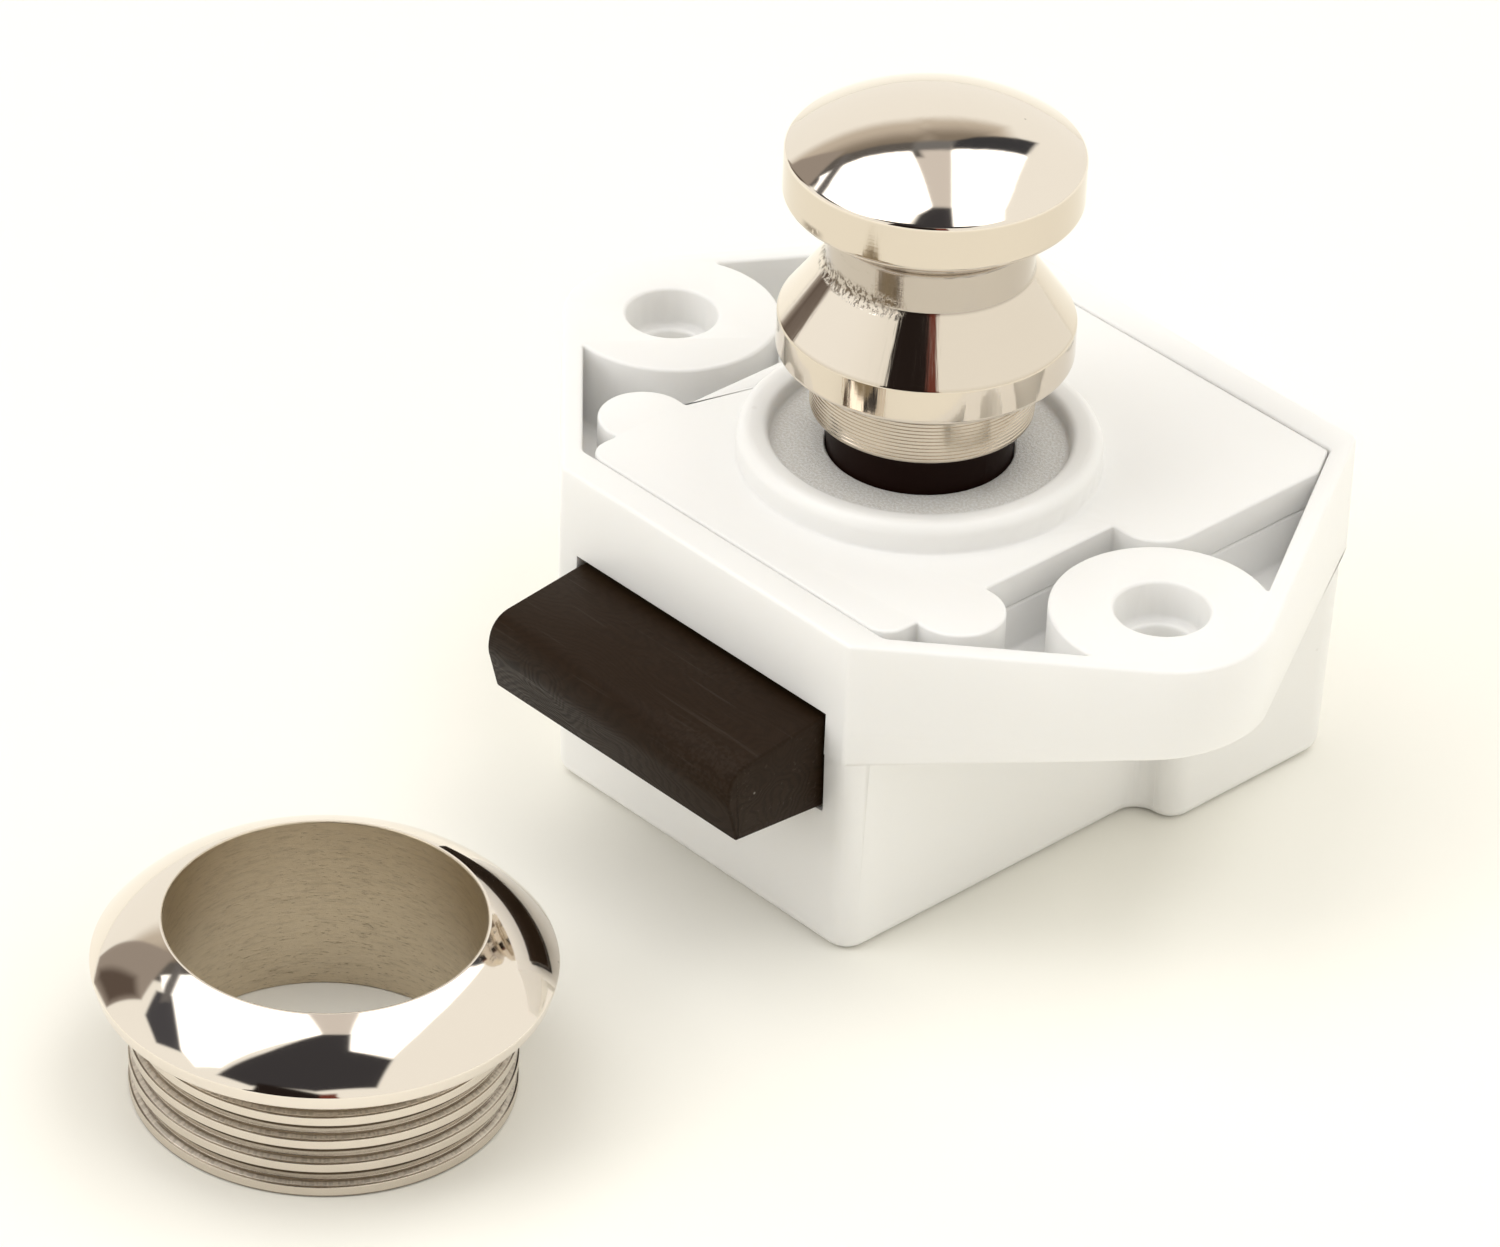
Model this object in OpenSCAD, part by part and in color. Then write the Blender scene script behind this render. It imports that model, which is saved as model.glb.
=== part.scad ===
// Push button lock for a cabinet or caravan door.
// The housing lies on its closed back with the button axis along +Z.
// The face that meets the door is the rim at the top, the bolt leaves towards -Y,
// and the origin is on the button axis in the plane of the back.
// Stored locked: button in, bolt out. All sizes are in millimetres.

/* [Housing] */
// Height from the closed back to the face that meets the door
housing_h = 19.5; // [19.3:0.1:24]
// Front face of the rim, ahead of the button axis
front_y = 15.5; // [14.5:0.1:18]
// Rear face of the rim, behind the button axis
rear_y = 19.2; // [19:0.1:23]
// Half width of the rim at its front corners
rim_front_half = 11.0; // [10.5:0.1:11.6]
// Half width of the rim at its rear corners
rim_rear_half = 13.7; // [13:0.1:14.3]
// Radius on the upright corners of the rim
rim_corner_r = 0.5; // [0.2:0.1:1]
// Thickness of the front and rear walls
end_wall = 2.0; // [1.4:0.1:2.4]
// Thickness of the slanting walls between the corners and the ears
side_wall = 1.1; // [0.8:0.1:1.5]
// Thickness of the closed back
floor_t = 1.6; // [1.2:0.1:2]
// Half width of the body under the ears, front part
body_front_half = 11.9; // [11.3:0.1:12.5]
// Half width of the body under the ears, rear part
body_rear_half = 14.4; // [14.2:0.1:15]
// Where the body steps out to its wide rear part
body_step_y = 6.4; // [5.5:0.1:6.6]
// Radius of the concave fillet in that step
body_fillet_r = 1.2; // [0.6:0.1:1.4]
// Draft of the body, taken off each side at the back
body_draft = 0.3; // [0:0.05:0.4]
// Radius on the upright corners of the body, at the front and at the step
body_corner_r = 1.4; // [1:0.1:2]
// Radius on the upright rear corners of the body
body_rear_corner_r = 1.9; // [1:0.1:2.2]
// Radius round the edge of the closed back
body_edge_r = 0.8; // [0.3:0.1:1]
// Depth of the ear plate where it leaves the body
flange_t = 7.4; // [6.5:0.1:8]
// Slope of the underside of the ears
flange_rise = 9; // [4:1:12]
// Depth of the moulding pockets beside the cover
pocket_depth = 4.8; // [3:0.1:5]

/* [Ears] */
// Distance between the two screw holes
ear_spacing = 37.5; // [36.5:0.1:40]
// Screw holes relative to the button axis, front to back
ear_y = -0.6; // [-1.5:0.1:0.5]
// Radius of the ears and of the bosses in them
ear_r = 5.9; // [5.2:0.1:6.2]
// Diameter of the recess round each screw hole
ear_recess_d = 5.0; // [4.4:0.1:5.6]
// Depth of the recess
ear_recess_depth = 2.2; // [1:0.1:3]
// Diameter of each screw hole
screw_hole_d = 3.6; // [3:0.1:4.2]

/* [Cover] */
// Thickness of the cover plate
cover_t = 2.0; // [1.6:0.1:2.4]
// How far the cover lies under the rim
cover_drop = 0.05; // [0.02:0.01:0.2]
// Gap between the cover and the walls round it
cover_gap = 0.1; // [0.05:0.01:0.2]
// Half width of the cover, front part
cover_front_half = 11.5; // [11.2:0.1:11.8]
// Half width of the cover, rear part
cover_rear_half = 14.75; // [14.5:0.05:15.2]
// Where the cover steps out to its wide rear part
cover_step_y = 3.05; // [2:0.1:4]
// Radius of the shoulder of the rear part, with a fixing peg at its centre
shoulder_r = 2.35; // [2:0.05:2.6]
// Radius of the round lobes that carry the front pegs
lobe_r = 2.5; // [2.1:0.1:2.8]
// Front pegs, sideways from the button axis
lobe_x = 12.0; // [11.8:0.1:12.4]
// Front pegs, ahead of the button axis
lobe_y = 8.7; // [8:0.1:9.5]
// Diameter of the four fixing pegs
peg_d = 2.2; // [1.6:0.1:2.6]
// Length of the pegs
peg_l = 3.6; // [2:0.1:4]
// Diameter of the collar that enters the door's drill hole
collar_d = 19.4; // [18.8:0.1:19.8]
// Height of the collar over the cover
collar_h = 1.75; // [1.2:0.05:3]
// Diameter of the recess inside the collar
collar_recess_d = 16.0; // [15.6:0.1:17]
// Height of the recess floor over the cover
collar_floor_h = 0.7; // [0.3:0.05:1]
// Radius on the top of the collar
collar_round_r = 0.45; // [0.2:0.05:0.6]

/* [Latch bolt] */
// Width of the bolt
bolt_w = 18.7; // [17.5:0.1:19.5]
// Thickness of the bolt
bolt_t = 5.6; // [5:0.1:5.8]
// Height of the underside of the bolt over the back
bolt_z = 8.6; // [8.4:0.1:8.8]
// How far the bolt stands out of the front when locked
bolt_throw = 6.4; // [5.5:0.1:7]
// How far the bolt sinks behind the front when open
bolt_sink = 0.1; // [0:0.05:0.3]
// Radius on the upper edge of the nose
nose_r = 1.5; // [1:0.1:2]
// Taper of the nose, upper side
nose_top_fall = 0.7; // [0.2:0.1:1]
// Taper of the nose, lower side
nose_under_rise = 0.45; // [0.2:0.05:0.6]
// Thickness of the two cheeks with the slanting slots
cheek_t = 1.95; // [1.6:0.05:2.1]
// Wall left round each slanting slot
slot_wall = 1.1; // [0.8:0.1:1.2]
// Slot left under the lugs when the button is pushed right in
slot_lead = 0.85; // [0.5:0.05:1]
// Width of the bar behind the plunger window
bar_l = 2.0; // [1.6:0.1:2.1]
// Half width of the bar, which stops the bolt against the step in the body
bar_half = 12.6; // [12:0.1:12.8]
// Side gap of the bolt in its window
bolt_side_gap = 0.25; // [0.1:0.05:0.35]
// Gap of the bolt over the rails and under the guides
bolt_rail_gap = 0.2; // [0.1:0.05:0.3]
// Gap over the bolt in its window
bolt_top_gap = 0.4; // [0.2:0.05:0.6]
// Width of the rails that carry the sides of the bolt
rail_w = 1.6; // [1.2:0.1:1.7]
// Width of the ribs under the cover and of the rails behind
rib_w = 1.0; // [0.8:0.1:1.2]

/* [Button and plunger] */
// Travel of the button from locked to open
button_travel = 9.0; // [8:0.1:9.4]
// Extra travel inwards that frees the button
over_travel = 1.0; // [0.6:0.1:1.2]
// Diameter of the plunger stem
stem_d = 9.9; // [9.4:0.1:10.2]
// Radial running gap of the stem in the cover
stem_gap = 0.07; // [0.03:0.01:0.1]
// Top of the stem over the recess floor of the collar, locked
stem_show = 2.45; // [2:0.05:4]
// Diameter of the two side lugs that run in the slanting slots
lug_d = 2.0; // [1.6:0.1:2.2]
// Radial gap of the lugs in the slots
lug_gap = 0.1; // [0.05:0.05:0.15]
// Diameter of the threaded stud that joins button and plunger
stud_d = 4.0; // [3:0.1:5]
// Depth of the stud in the plunger
stud_in_stem = 8.5; // [6:0.1:9.5]
// Depth of the stud in the knob
stud_in_knob = 7.5; // [5:0.1:10]

/* [Knob] */
// Diameter of the cap of the knob
cap_d = 15.75; // [14.5:0.05:15.9]
// Height of the straight band of the cap
cap_band_h = 2.5; // [2:0.1:3.5]
// Height of the crown over the band
crown_h = 2.6; // [2:0.1:3.5]
// Height of the slope under the cap
cap_under_h = 1.7; // [1:0.1:2.5]
// Diameter of the waist
waist_d = 11.0; // [10:0.1:12]
// Height of the waist
waist_h = 2.3; // [1.5:0.1:3]
// Height of the cone under the waist
cone_h = 3.3; // [2.5:0.1:4]
// Height of the lower flange
lower_flange_h = 2.1; // [1.5:0.1:3]
// Diameter of the grooved base
base_d = 11.9; // [11:0.1:12.5]
// Height of the grooved base
base_h = 3.5; // [2.5:0.1:4.5]

/* [Trim ring] */
// Outside diameter of the domed rim
ring_rim_d = 23.8; // [22.5:0.1:26]
// Outside diameter of the sleeve, for a drill hole of 20
sleeve_d = 19.9; // [19:0.1:20.2]
// Diameter of the bore
ring_bore_d = 16.4; // [16:0.1:17.2]
// Height of the whole ring
ring_h = 10.2; // [9.6:0.1:12]
// Height of the sleeve under the rim
sleeve_h = 6.6; // [6.4:0.1:7.2]
// Thickness of the edge of the rim
rim_edge_h = 0.9; // [0.5:0.1:1.3]
// Rise of the underside of the rim from the sleeve outwards
rim_under_rise = 0.25; // [0.1:0.05:0.5]
// Number of grooves round the sleeve
groove_n = 4; // [0:1:5]
// Distance from groove to groove
groove_pitch = 1.45; // [1.2:0.05:2]
// Height of each groove
groove_w = 0.95; // [0.5:0.05:1]
// Depth of each groove
groove_depth = 0.45; // [0.2:0.05:0.7]
// Height of the plain lip under the lowest groove
sleeve_lip_h = 0.6; // [0.4:0.1:1]
// Where the loose ring stands, sideways from the button axis
ring_x = 2.0; // [-10:0.5:10]
// Where the loose ring stands, ahead of the button axis
ring_y = 42.7; // [36:0.1:60]

/* [Clearances] */
// Gap between inner pieces that pass each other
pass_gap = 0.4; // [0.3:0.05:0.5]
// Gap left at the ends of a travel
end_gap = 0.2; // [0.1:0.05:0.3]
// Gap on diameter round the stud and the fixing pegs
hole_gap = 0.1; // [0.05:0.05:0.2]
// Gap on diameter of the spring in its bore
spring_gap = 0.5; // [0.3:0.1:0.7]

/* [Push-push catch] */
// Diameter of the follower wire
wire_d = 0.8; // [0.6:0.1:0.9]
// Length of the wire between its pivot and its tip
wire_arm = 6.0; // [5.5:0.1:6.2]
// Swing of the wire from the way out to the way in, in degrees
wire_swing = 30; // [27:1:33]
// Thickness of the track post
post_t = 2.1; // [1.8:0.1:2.2]
// Thickness of the side walls of the track
post_wall = 1.0; // [0.8:0.1:1.2]
// Depth of the track in the post
track_depth = 1.5; // [1.2:0.1:1.6]
// Gap of the wire in the track
wire_gap = 0.15; // [0.1:0.05:0.2]
// Depth of the notch that holds the wire
notch_depth = 0.4; // [0.3:0.05:0.6]
// Height of the island over the notch
island_h = 5.4; // [4.5:0.1:6]
// Height of the tip of the wire over the lower end of the plunger
tip_rise = 1.1; // [0.9:0.1:1.4]
// Length of the leg of the wire that turns in the plunger
wire_leg = 2.2; // [1.8:0.1:2.4]
// Height of the track post over its track
post_top_h = 1.2; // [0.8:0.1:1.6]
// Outside diameter of the plunger spring
spring_d = 4.4; // [4:0.1:4.6]
// Diameter of the spring wire
spring_wire_d = 0.45; // [0.3:0.05:0.5]
// Number of coils
spring_coils = 8; // [5:1:9]

/* [Hidden] */
$fn = 64;
EPS = 0.01;
LONG = 60;
RIGHT_LEFT = [0, 1];

// Heights over the back
cover_top = housing_h - cover_drop;
cover_under = cover_top - cover_t;
flange_z = housing_h - flange_t;
pocket_z = housing_h - pocket_depth;
collar_floor_z = cover_top + collar_floor_h;
stem_top = collar_floor_z + stem_show;
stem_bottom = floor_t + pass_gap + over_travel;
bolt_top = bolt_z + bolt_t;
rail_top = bolt_z - bolt_rail_gap;

// Plan of the housing, right half; a point is [x, y]
ear = [ear_spacing / 2, ear_y];
front_corner = [rim_front_half, -front_y];
rear_corner = [rim_rear_half, rear_y];
front_tangent = tangent_point(front_corner, ear, ear_r, 1);
rear_tangent = tangent_point(rear_corner, ear, ear_r, -1);

// Mechanism chamber
bolt_travel = bolt_throw + bolt_sink;
slide_ratio = bolt_travel / button_travel;
bolt_over = over_travel * slide_ratio;
chamber_front = -front_y + end_wall;
chamber_half = bolt_w / 2 + bolt_side_gap;
chamber_rear_half = bar_half + bolt_side_gap;

// Bolt, in the locked place
nose_y = -front_y - bolt_throw;
window_half = stem_d / 2 + pass_gap;
post_y = window_half;
window_rear = post_y + post_t + bolt_over + pass_gap;
bar_rear = window_rear + bar_l;
chamber_step = window_rear - bolt_over - end_gap;
chamber_rear = bar_rear + bolt_travel + end_gap;
cheek_outer = window_half + cheek_t;
slot_r = lug_d / 2 + lug_gap;
slot_angle = atan2(button_travel, bolt_travel);
cheek_bottom = floor_t + pass_gap;

// Plunger and catch
lug_z = cheek_bottom + over_travel + slot_r + slot_lead;
cheek_top = lug_z + button_travel + slot_r + slot_wall;
lug_end = cheek_outer - end_gap;
wire_y = stem_d / 2 - pass_gap - wire_d / 2;
flat_y = wire_y - wire_d / 2 - end_gap;
tip_z = stem_bottom + tip_rise;
pivot_z = tip_z + wire_arm;
tip_reach = wire_arm * sin(wire_swing);
spring_bore_d = spring_d + spring_gap;
spring_top = pivot_z - wire_d / 2 - 1.5 * pass_gap;
channel_half = wire_d / 2 + wire_gap;
track_bottom = tip_z - over_travel - wire_d / 2 - 2 * wire_gap;
track_top = free_z(tip_reach) + button_travel;

// Trim ring
rim_top = sleeve_h + rim_under_rise + rim_edge_h;
dome_h = ring_h - rim_top;

// Height that stays clear of the wire when its tip swings to x, button in
function free_z(x) =
    tip_z + wire_arm - sqrt(wire_arm * wire_arm - x * x) + wire_d / 2 + 2 * wire_gap;

// Point where the line from p touches the circle round c, on the side given
function tangent_point(p, c, r, side) =
    let (
        d = norm(c - p),
        a = atan2(c.y - p.y, c.x - p.x) - side * asin(r / d)
    )
    p + sqrt(d * d - r * r) * [cos(a), sin(a)];

// Corner of the inside of a slanting wall that runs from p to t
function wall_corner(p, t, side, wall, y_in) =
    let (
        d = (t - p) / norm(t - p),
        n = side * [-d.y, d.x] * wall
    )
    p + n + d * (y_in - p.y - n.y) / d.y;

// Far end of the inside of a slanting wall that runs from p to t
function wall_end(p, t, side, wall) =
    let (d = (t - p) / norm(t - p))
    t + side * [-d.y, d.x] * wall;

// Points of a round corner at b, between a and c
function round_corner(a, b, c, r, n = 6) =
    let (
        u = (a - b) / norm(a - b),
        v = (c - b) / norm(c - b),
        half = acos(u * v) / 2,
        centre = b + (u + v) / norm(u + v) * r / sin(half),
        s = b + u * r / tan(half) - centre,
        turn = (cross(s, b - centre) > 0 ? 1 : -1) * (180 - 2 * half)
    )
    [
        for (i = [0:n])
            let (t = turn * i / n)
            centre + [cos(t) * s.x - sin(t) * s.y, sin(t) * s.x + cos(t) * s.y]
    ];

// Closed outline with a radius at each point, 0 for a sharp one
function rounded(pts, radii, n = 6) =
    let (k = len(pts))
    [
        for (i = [0:k - 1])
            each radii[i] == 0
                ? [pts[i]]
                : round_corner(pts[(i + k - 1) % k], pts[i], pts[(i + 1) % k], radii[i], n)
    ];

// Right half of an outline, closed with its mirror image
function both_halves(right) =
    concat(right, [for (i = [len(right) - 1:-1:0]) [-right[i].x, right[i].y]]);

function rim_outer() =
    let (r = rim_corner_r)
    rounded(
        both_halves([front_corner, front_tangent, rear_tangent, rear_corner]),
        [r, 0, 0, r, r, 0, 0, r]
    );

function rim_inner(gap = 0) =
    let (
        w = side_wall + gap,
        front_in = -front_y + end_wall + gap,
        rear_in = rear_y - end_wall - gap
    )
    both_halves([
        wall_corner(front_corner, front_tangent, 1, w, front_in),
        wall_end(front_corner, front_tangent, 1, w),
        wall_end(rear_corner, rear_tangent, -1, w),
        wall_corner(rear_corner, rear_tangent, -1, w, rear_in)
    ]);

module at_both_sides() {
    for (side = RIGHT_LEFT)
        mirror([side, 0, 0])
            children();
}

module at_ears() {
    at_both_sides()
        translate([ear.x, ear.y, 0])
            children();
}

// Where the four fixing pegs of the cover stand
module at_pegs() {
    at_both_sides() {
        translate([lobe_x, -lobe_y, 0])
            children();
        translate([cover_rear_half - shoulder_r, cover_step_y + shoulder_r, 0])
            children();
    }
}

// Plan of the cover, and without the gap of the chamber walls under it
module cover_plan(gap) {
    corner = 1.3;
    intersection() {
        polygon(rim_inner(gap));
        union() {
            polygon(rounded(
                both_halves([
                    [cover_front_half, chamber_front + gap],
                    [cover_front_half, cover_step_y + shoulder_r]
                ]),
                [corner, 0, 0, corner]
            ));
            polygon(rounded(
                both_halves([
                    [cover_rear_half, cover_step_y],
                    [cover_rear_half, rear_y]
                ]),
                [shoulder_r, 0, 0, shoulder_r]
            ));
            at_both_sides()
                translate([lobe_x, -lobe_y])
                    circle(r = lobe_r);
        }
    }
}

// One upright corner of the body: rounded at the back, drawn out to the top. The body
// lies behind the corner where way is 1, and ahead of it where way is -1
module body_post(x, y, way, r, y_draft) {
    translate([x - r - body_draft, y + way * (r + y_draft), 0])
        rotate_extrude($fn = 32) {
            translate([0, body_edge_r])
                square([r, body_edge_r]);
            square([r - body_edge_r, 2 * body_edge_r]);
            intersection() {
                translate([r - body_edge_r, body_edge_r])
                    circle(r = body_edge_r, $fn = 24);
                square([r, body_edge_r]);
            }
        }
    translate([x - r, y + way * r, flange_z + 2])
        cylinder(r = r, h = EPS, $fn = 32);
}

// A block of the body, from y0 to y1
module body_block(half, y0, y1, y0_draft, rear_r) {
    hull()
        at_both_sides() {
            body_post(half, y0, 1, body_corner_r, y0_draft);
            body_post(half, y1, -1, rear_r, body_draft);
        }
}

// Concave fillet where the side of the body steps out, with the rounded edge of the back
module step_fillet() {
    x = body_front_half - body_draft;
    y = body_step_y;
    r = body_fillet_r;
    e = body_edge_r;
    h = flange_z + 1;
    difference() {
        translate([x - e, y - r, 0])
            cube([r + e, r + e, h]);
        translate([x + r, y - r, 0])
            rotate_extrude($fn = 64) {
                translate([0, -1])
                    square([r, h + 2]);
                translate([0, -1])
                    square([r + e, 1]);
                difference() {
                    square([r + e, e]);
                    translate([r + e, e])
                        circle(r = e, $fn = 24);
                }
            }
    }
}

// Solid of the body and of the ear plate, before it is hollowed
module housing_outside() {
    body_block(body_front_half, -front_y, body_step_y + 4, body_draft, body_corner_r);
    body_block(body_rear_half, body_step_y, rear_y, 0, body_rear_corner_r);
    at_both_sides()
        step_fillet();
    intersection() {
        union() {
            linear_extrude(housing_h)
                polygon(rim_outer());
            at_ears()
                cylinder(r = ear_r, h = housing_h, $fn = 96);
        }
        ear_plate_section();
    }
}

// Section of the ear plate from front or rear: its underside rises outwards
module ear_plate_section() {
    side = ear.x + ear_r + 1;
    side_z = flange_z + (side - rim_front_half) * tan(flange_rise);
    translate([0, LONG / 2, 0])
        rotate([90, 0, 0])
            linear_extrude(LONG)
                polygon(both_halves([
                    [rim_front_half, flange_z],
                    [side, side_z],
                    [side, housing_h + 1]
                ]));
}

// Chamber that holds the bolt and the plunger
module chamber() {
    h = cover_under - floor_t + EPS;
    translate([0, 0, floor_t])
        linear_extrude(h) {
            translate([-chamber_half, chamber_front])
                square([2 * chamber_half, chamber_step - chamber_front + 1]);
            translate([-chamber_rear_half, chamber_step])
                square([2 * chamber_rear_half, chamber_rear - chamber_step]);
        }
}

// Seat of the cover, and the moulding pockets between the chamber walls and the rim
module top_recesses() {
    difference() {
        union() {
            translate([0, 0, cover_under])
                linear_extrude(LONG)
                    polygon(rim_inner());
            translate([0, 0, pocket_z])
                linear_extrude(LONG)
                    difference() {
                        polygon(rim_inner());
                        cover_plan(0);
                    }
        }
        at_ears()
            cylinder(r = ear_r, h = LONG, $fn = 96);
    }
}

module ear_holes() {
    at_ears() {
        cylinder(d = screw_hole_d, h = LONG);
        translate([0, 0, housing_h - ear_recess_depth])
            cylinder(d = ear_recess_d, h = LONG);
    }
}

module bolt_window() {
    translate([-chamber_half, -front_y - 2, rail_top])
        cube([2 * chamber_half, end_wall + 3, bolt_t + bolt_rail_gap + bolt_top_gap]);
}

// Rails that carry the bolt, its plate in front and its bar behind
module rails() {
    sink = 0.5;
    h = rail_top - floor_t + sink;
    at_both_sides()
        translate([0, 0, floor_t - sink]) {
            translate([chamber_half - rail_w, chamber_front - sink, 0])
                cube([rail_w + sink, chamber_step - chamber_front + sink, h]);
            translate([bar_half - 2 * rib_w, chamber_step, 0])
                cube([rib_w, chamber_rear - chamber_step + sink, h]);
        }
}

// Island of the track, with the notch that holds the wire; a point is [x, z]
module track_island() {
    left = channel_half;
    right = tip_reach - channel_half;
    horn_l = left + 0.3;
    horn_r = right - 0.15;
    roof_z = free_z(right) + notch_depth;
    rotate([90, 0, 0])
        linear_extrude(track_depth + EPS)
            polygon([
                [left, free_z(left) + 0.4],
                [horn_l, free_z(horn_l)],
                [(left + right) / 2, roof_z],
                [horn_r, free_z(horn_r)],
                [right, free_z(right) + 0.3],
                [right, roof_z + island_h * 0.5],
                [left + 0.2, roof_z + island_h],
                [left, roof_z + island_h - 0.3]
            ]);
}

// Post on the back with the heart-shaped track for the follower wire
module track_post() {
    z0 = floor_t - 0.5;
    track_w = tip_reach + 2 * channel_half;
    difference() {
        translate([-channel_half - post_wall, post_y, z0])
            cube([track_w + 2 * post_wall, post_t, track_top + post_top_h - z0]);
        translate([-channel_half, post_y - 1, track_bottom])
            cube([track_w, track_depth + 1, track_top - track_bottom]);
    }
    translate([0, post_y + track_depth, 0])
        track_island();
}

// Spigot on the back that centres the spring
module spring_spigot() {
    spigot_h = 1.8;
    translate([0, 0, floor_t - 0.5])
        cylinder(d = spring_d - 2 * spring_wire_d - spring_gap, h = spigot_h + 0.5);
}

module housing() {
    color("white")
        difference() {
            union() {
                difference() {
                    housing_outside();
                    chamber();
                }
                rails();
                track_post();
                spring_spigot();
            }
            top_recesses();
            ear_holes();
            bolt_window();
            at_pegs()
                translate([0, 0, cover_under - peg_l - end_gap])
                    cylinder(d = peg_d + hole_gap, h = LONG, $fn = 32);
        }
}

// Collar of the cover, as a section from the axis outwards
module collar_profile() {
    r_in = collar_recess_d / 2;
    r_out = collar_d / 2;
    e = collar_round_r;
    polygon(rounded(
        [
            [stem_d / 2 + stem_gap, -cover_t],
            [r_out, -cover_t],
            [r_out, collar_h],
            [r_in, collar_h - 0.2],
            [r_in, collar_floor_h],
            [stem_d / 2 + stem_gap, collar_floor_h]
        ],
        [0, 0, 1.5 * e, e, 0.15, 0]
    ));
}

// Ribs under the cover that keep the bolt down
module cover_guides() {
    z0 = bolt_top + bolt_rail_gap;
    x0 = cheek_outer + 2 * pass_gap;
    at_both_sides()
        translate([x0, chamber_front + pass_gap, z0])
            cube([rib_w, chamber_step - chamber_front - 2 * pass_gap, cover_under - z0 + EPS]);
}

module cover_plate() {
    color("whitesmoke") {
        translate([0, 0, cover_under])
            difference() {
                linear_extrude(cover_t)
                    cover_plan(cover_gap);
                translate([0, 0, -1])
                    cylinder(d = collar_d - 1, h = cover_t + 2);
            }
        translate([0, 0, cover_top])
            rotate_extrude($fn = 128)
                collar_profile();
        cover_guides();
        at_pegs()
            translate([0, 0, cover_under - peg_l])
                cylinder(d = peg_d, h = peg_l + EPS, $fn = 32);
    }
}

// Side view of the bolt; a point is [y, z]
module bolt_side() {
    polygon(rounded(
        [
            [bar_rear, bolt_z],
            [bar_rear, bolt_top],
            [-front_y, bolt_top],
            [nose_y + 0.15, bolt_top - nose_top_fall],
            [nose_y - 0.1, bolt_z + bolt_t * 0.55],
            [nose_y + 0.65, bolt_z + nose_under_rise],
            [-front_y, bolt_z]
        ],
        [0.3, 0.3, 0, nose_r, 2, 0.1, 0]
    ));
}

// Extrudes a side view, drawn as [y, z], across the part between two x values
module across(x0, x1) {
    translate([x0, 0, 0])
        rotate([90, 0, 90])
            linear_extrude(x1 - x0)
                children();
}

// Side view of a cheek, a strip along the slot; a point is [y, z]
module cheek_side() {
    side = (slot_r + slot_wall) / sin(slot_angle);
    low_y = (lug_z - cheek_bottom) / tan(slot_angle);
    high_y = (lug_z - cheek_top) / tan(slot_angle);
    polygon([
        [low_y - side, cheek_bottom],
        [low_y + side, cheek_bottom],
        [high_y + side, cheek_top],
        [high_y - side, cheek_top]
    ]);
}

// Side view of the slanting slot, open at its lower end
module slot_side() {
    run = norm([button_travel, bolt_travel]);
    translate([0, lug_z])
        rotate(180 - slot_angle) {
            translate([-LONG / 2, -slot_r])
                square([LONG / 2 + run, 2 * slot_r]);
            translate([run, 0])
                circle(r = slot_r);
        }
}

module latch_bolt() {
    color([0.2, 0.16, 0.13])
        difference() {
            union() {
                intersection() {
                    across(-bolt_w / 2, bolt_w / 2)
                        bolt_side();
                    translate([-LONG / 2, -LONG / 2, -1])
                        cube([LONG, LONG / 2 + window_rear + 1, LONG]);
                }
                translate([-bar_half, window_rear, bolt_z])
                    cube([2 * bar_half, bar_l, bolt_t]);
                at_both_sides()
                    across(window_half, cheek_outer)
                        cheek_side();
            }
            translate([0, -bolt_travel, 0])
                cylinder(r = window_half, h = LONG);
            translate([-window_half, -bolt_travel, 0])
                cube([2 * window_half, window_rear + bolt_travel, LONG]);
            at_both_sides()
                across(window_half - 1, cheek_outer)
                    slot_side();
        }
}

module plunger() {
    flat_top = pivot_z + wire_d / 2 + end_gap;
    color([0.17, 0.13, 0.11])
        difference() {
            union() {
                translate([0, 0, stem_bottom])
                    cylinder(d = stem_d, h = stem_top - stem_bottom, $fn = 96);
                translate([-lug_end, 0, lug_z])
                    rotate([0, 90, 0])
                        cylinder(d = lug_d, h = 2 * lug_end, $fn = 32);
            }
            translate([0, 0, stem_bottom - 1])
                cylinder(d = spring_bore_d, h = spring_top - stem_bottom + 1);
            translate([-stem_d, flat_y, stem_bottom - 1])
                cube([2 * stem_d, stem_d, flat_top - stem_bottom + 1]);
            translate([0, wire_y, pivot_z])
                rotate([90, 0, 0])
                    cylinder(d = wire_d + hole_gap, h = wire_leg + end_gap, $fn = 24);
            translate([0, 0, stem_top - stud_in_stem])
                cylinder(d = stud_d + hole_gap, h = stud_in_stem + 1);
        }
}

// Compression spring: one tube along a helix, with flat ends
module plunger_spring() {
    sides = 6;
    rings_per_coil = 8;
    rings = spring_coils * rings_per_coil;
    wr = spring_wire_d / 2;
    coil_r = spring_d / 2 - wr;
    z0 = floor_t + wr;
    rise = spring_top - floor_t - 2 * wr;
    pitch = rise / spring_coils;
    lead = atan2(pitch, 2 * PI * coil_r);
    points = [
        for (i = [0:rings], k = [0:sides - 1])
            let (
                a = 360 * i / rings_per_coil,
                t = 360 * k / sides,
                out = [cos(a), sin(a), 0],
                up = [sin(a) * sin(lead), -cos(a) * sin(lead), cos(lead)]
            )
            coil_r * out + [0, 0, z0 + rise * i / rings] + wr * (cos(t) * out + sin(t) * up)
    ];
    faces = concat(
        [
            for (i = [0:rings - 1], k = [0:sides - 1])
                let (
                    a = i * sides + k,
                    b = i * sides + (k + 1) % sides
                )
                each [[a, a + sides, b], [b, a + sides, b + sides]]
        ],
        [for (k = [1:sides - 2]) [0, k, k + 1]],
        [for (k = [1:sides - 2]) [rings * sides, rings * sides + k + 1, rings * sides + k]]
    );
    echo(least_gap_between_coils = pitch * cos(lead) - spring_wire_d);
    color("silver")
        polyhedron(points, faces);
}

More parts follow.
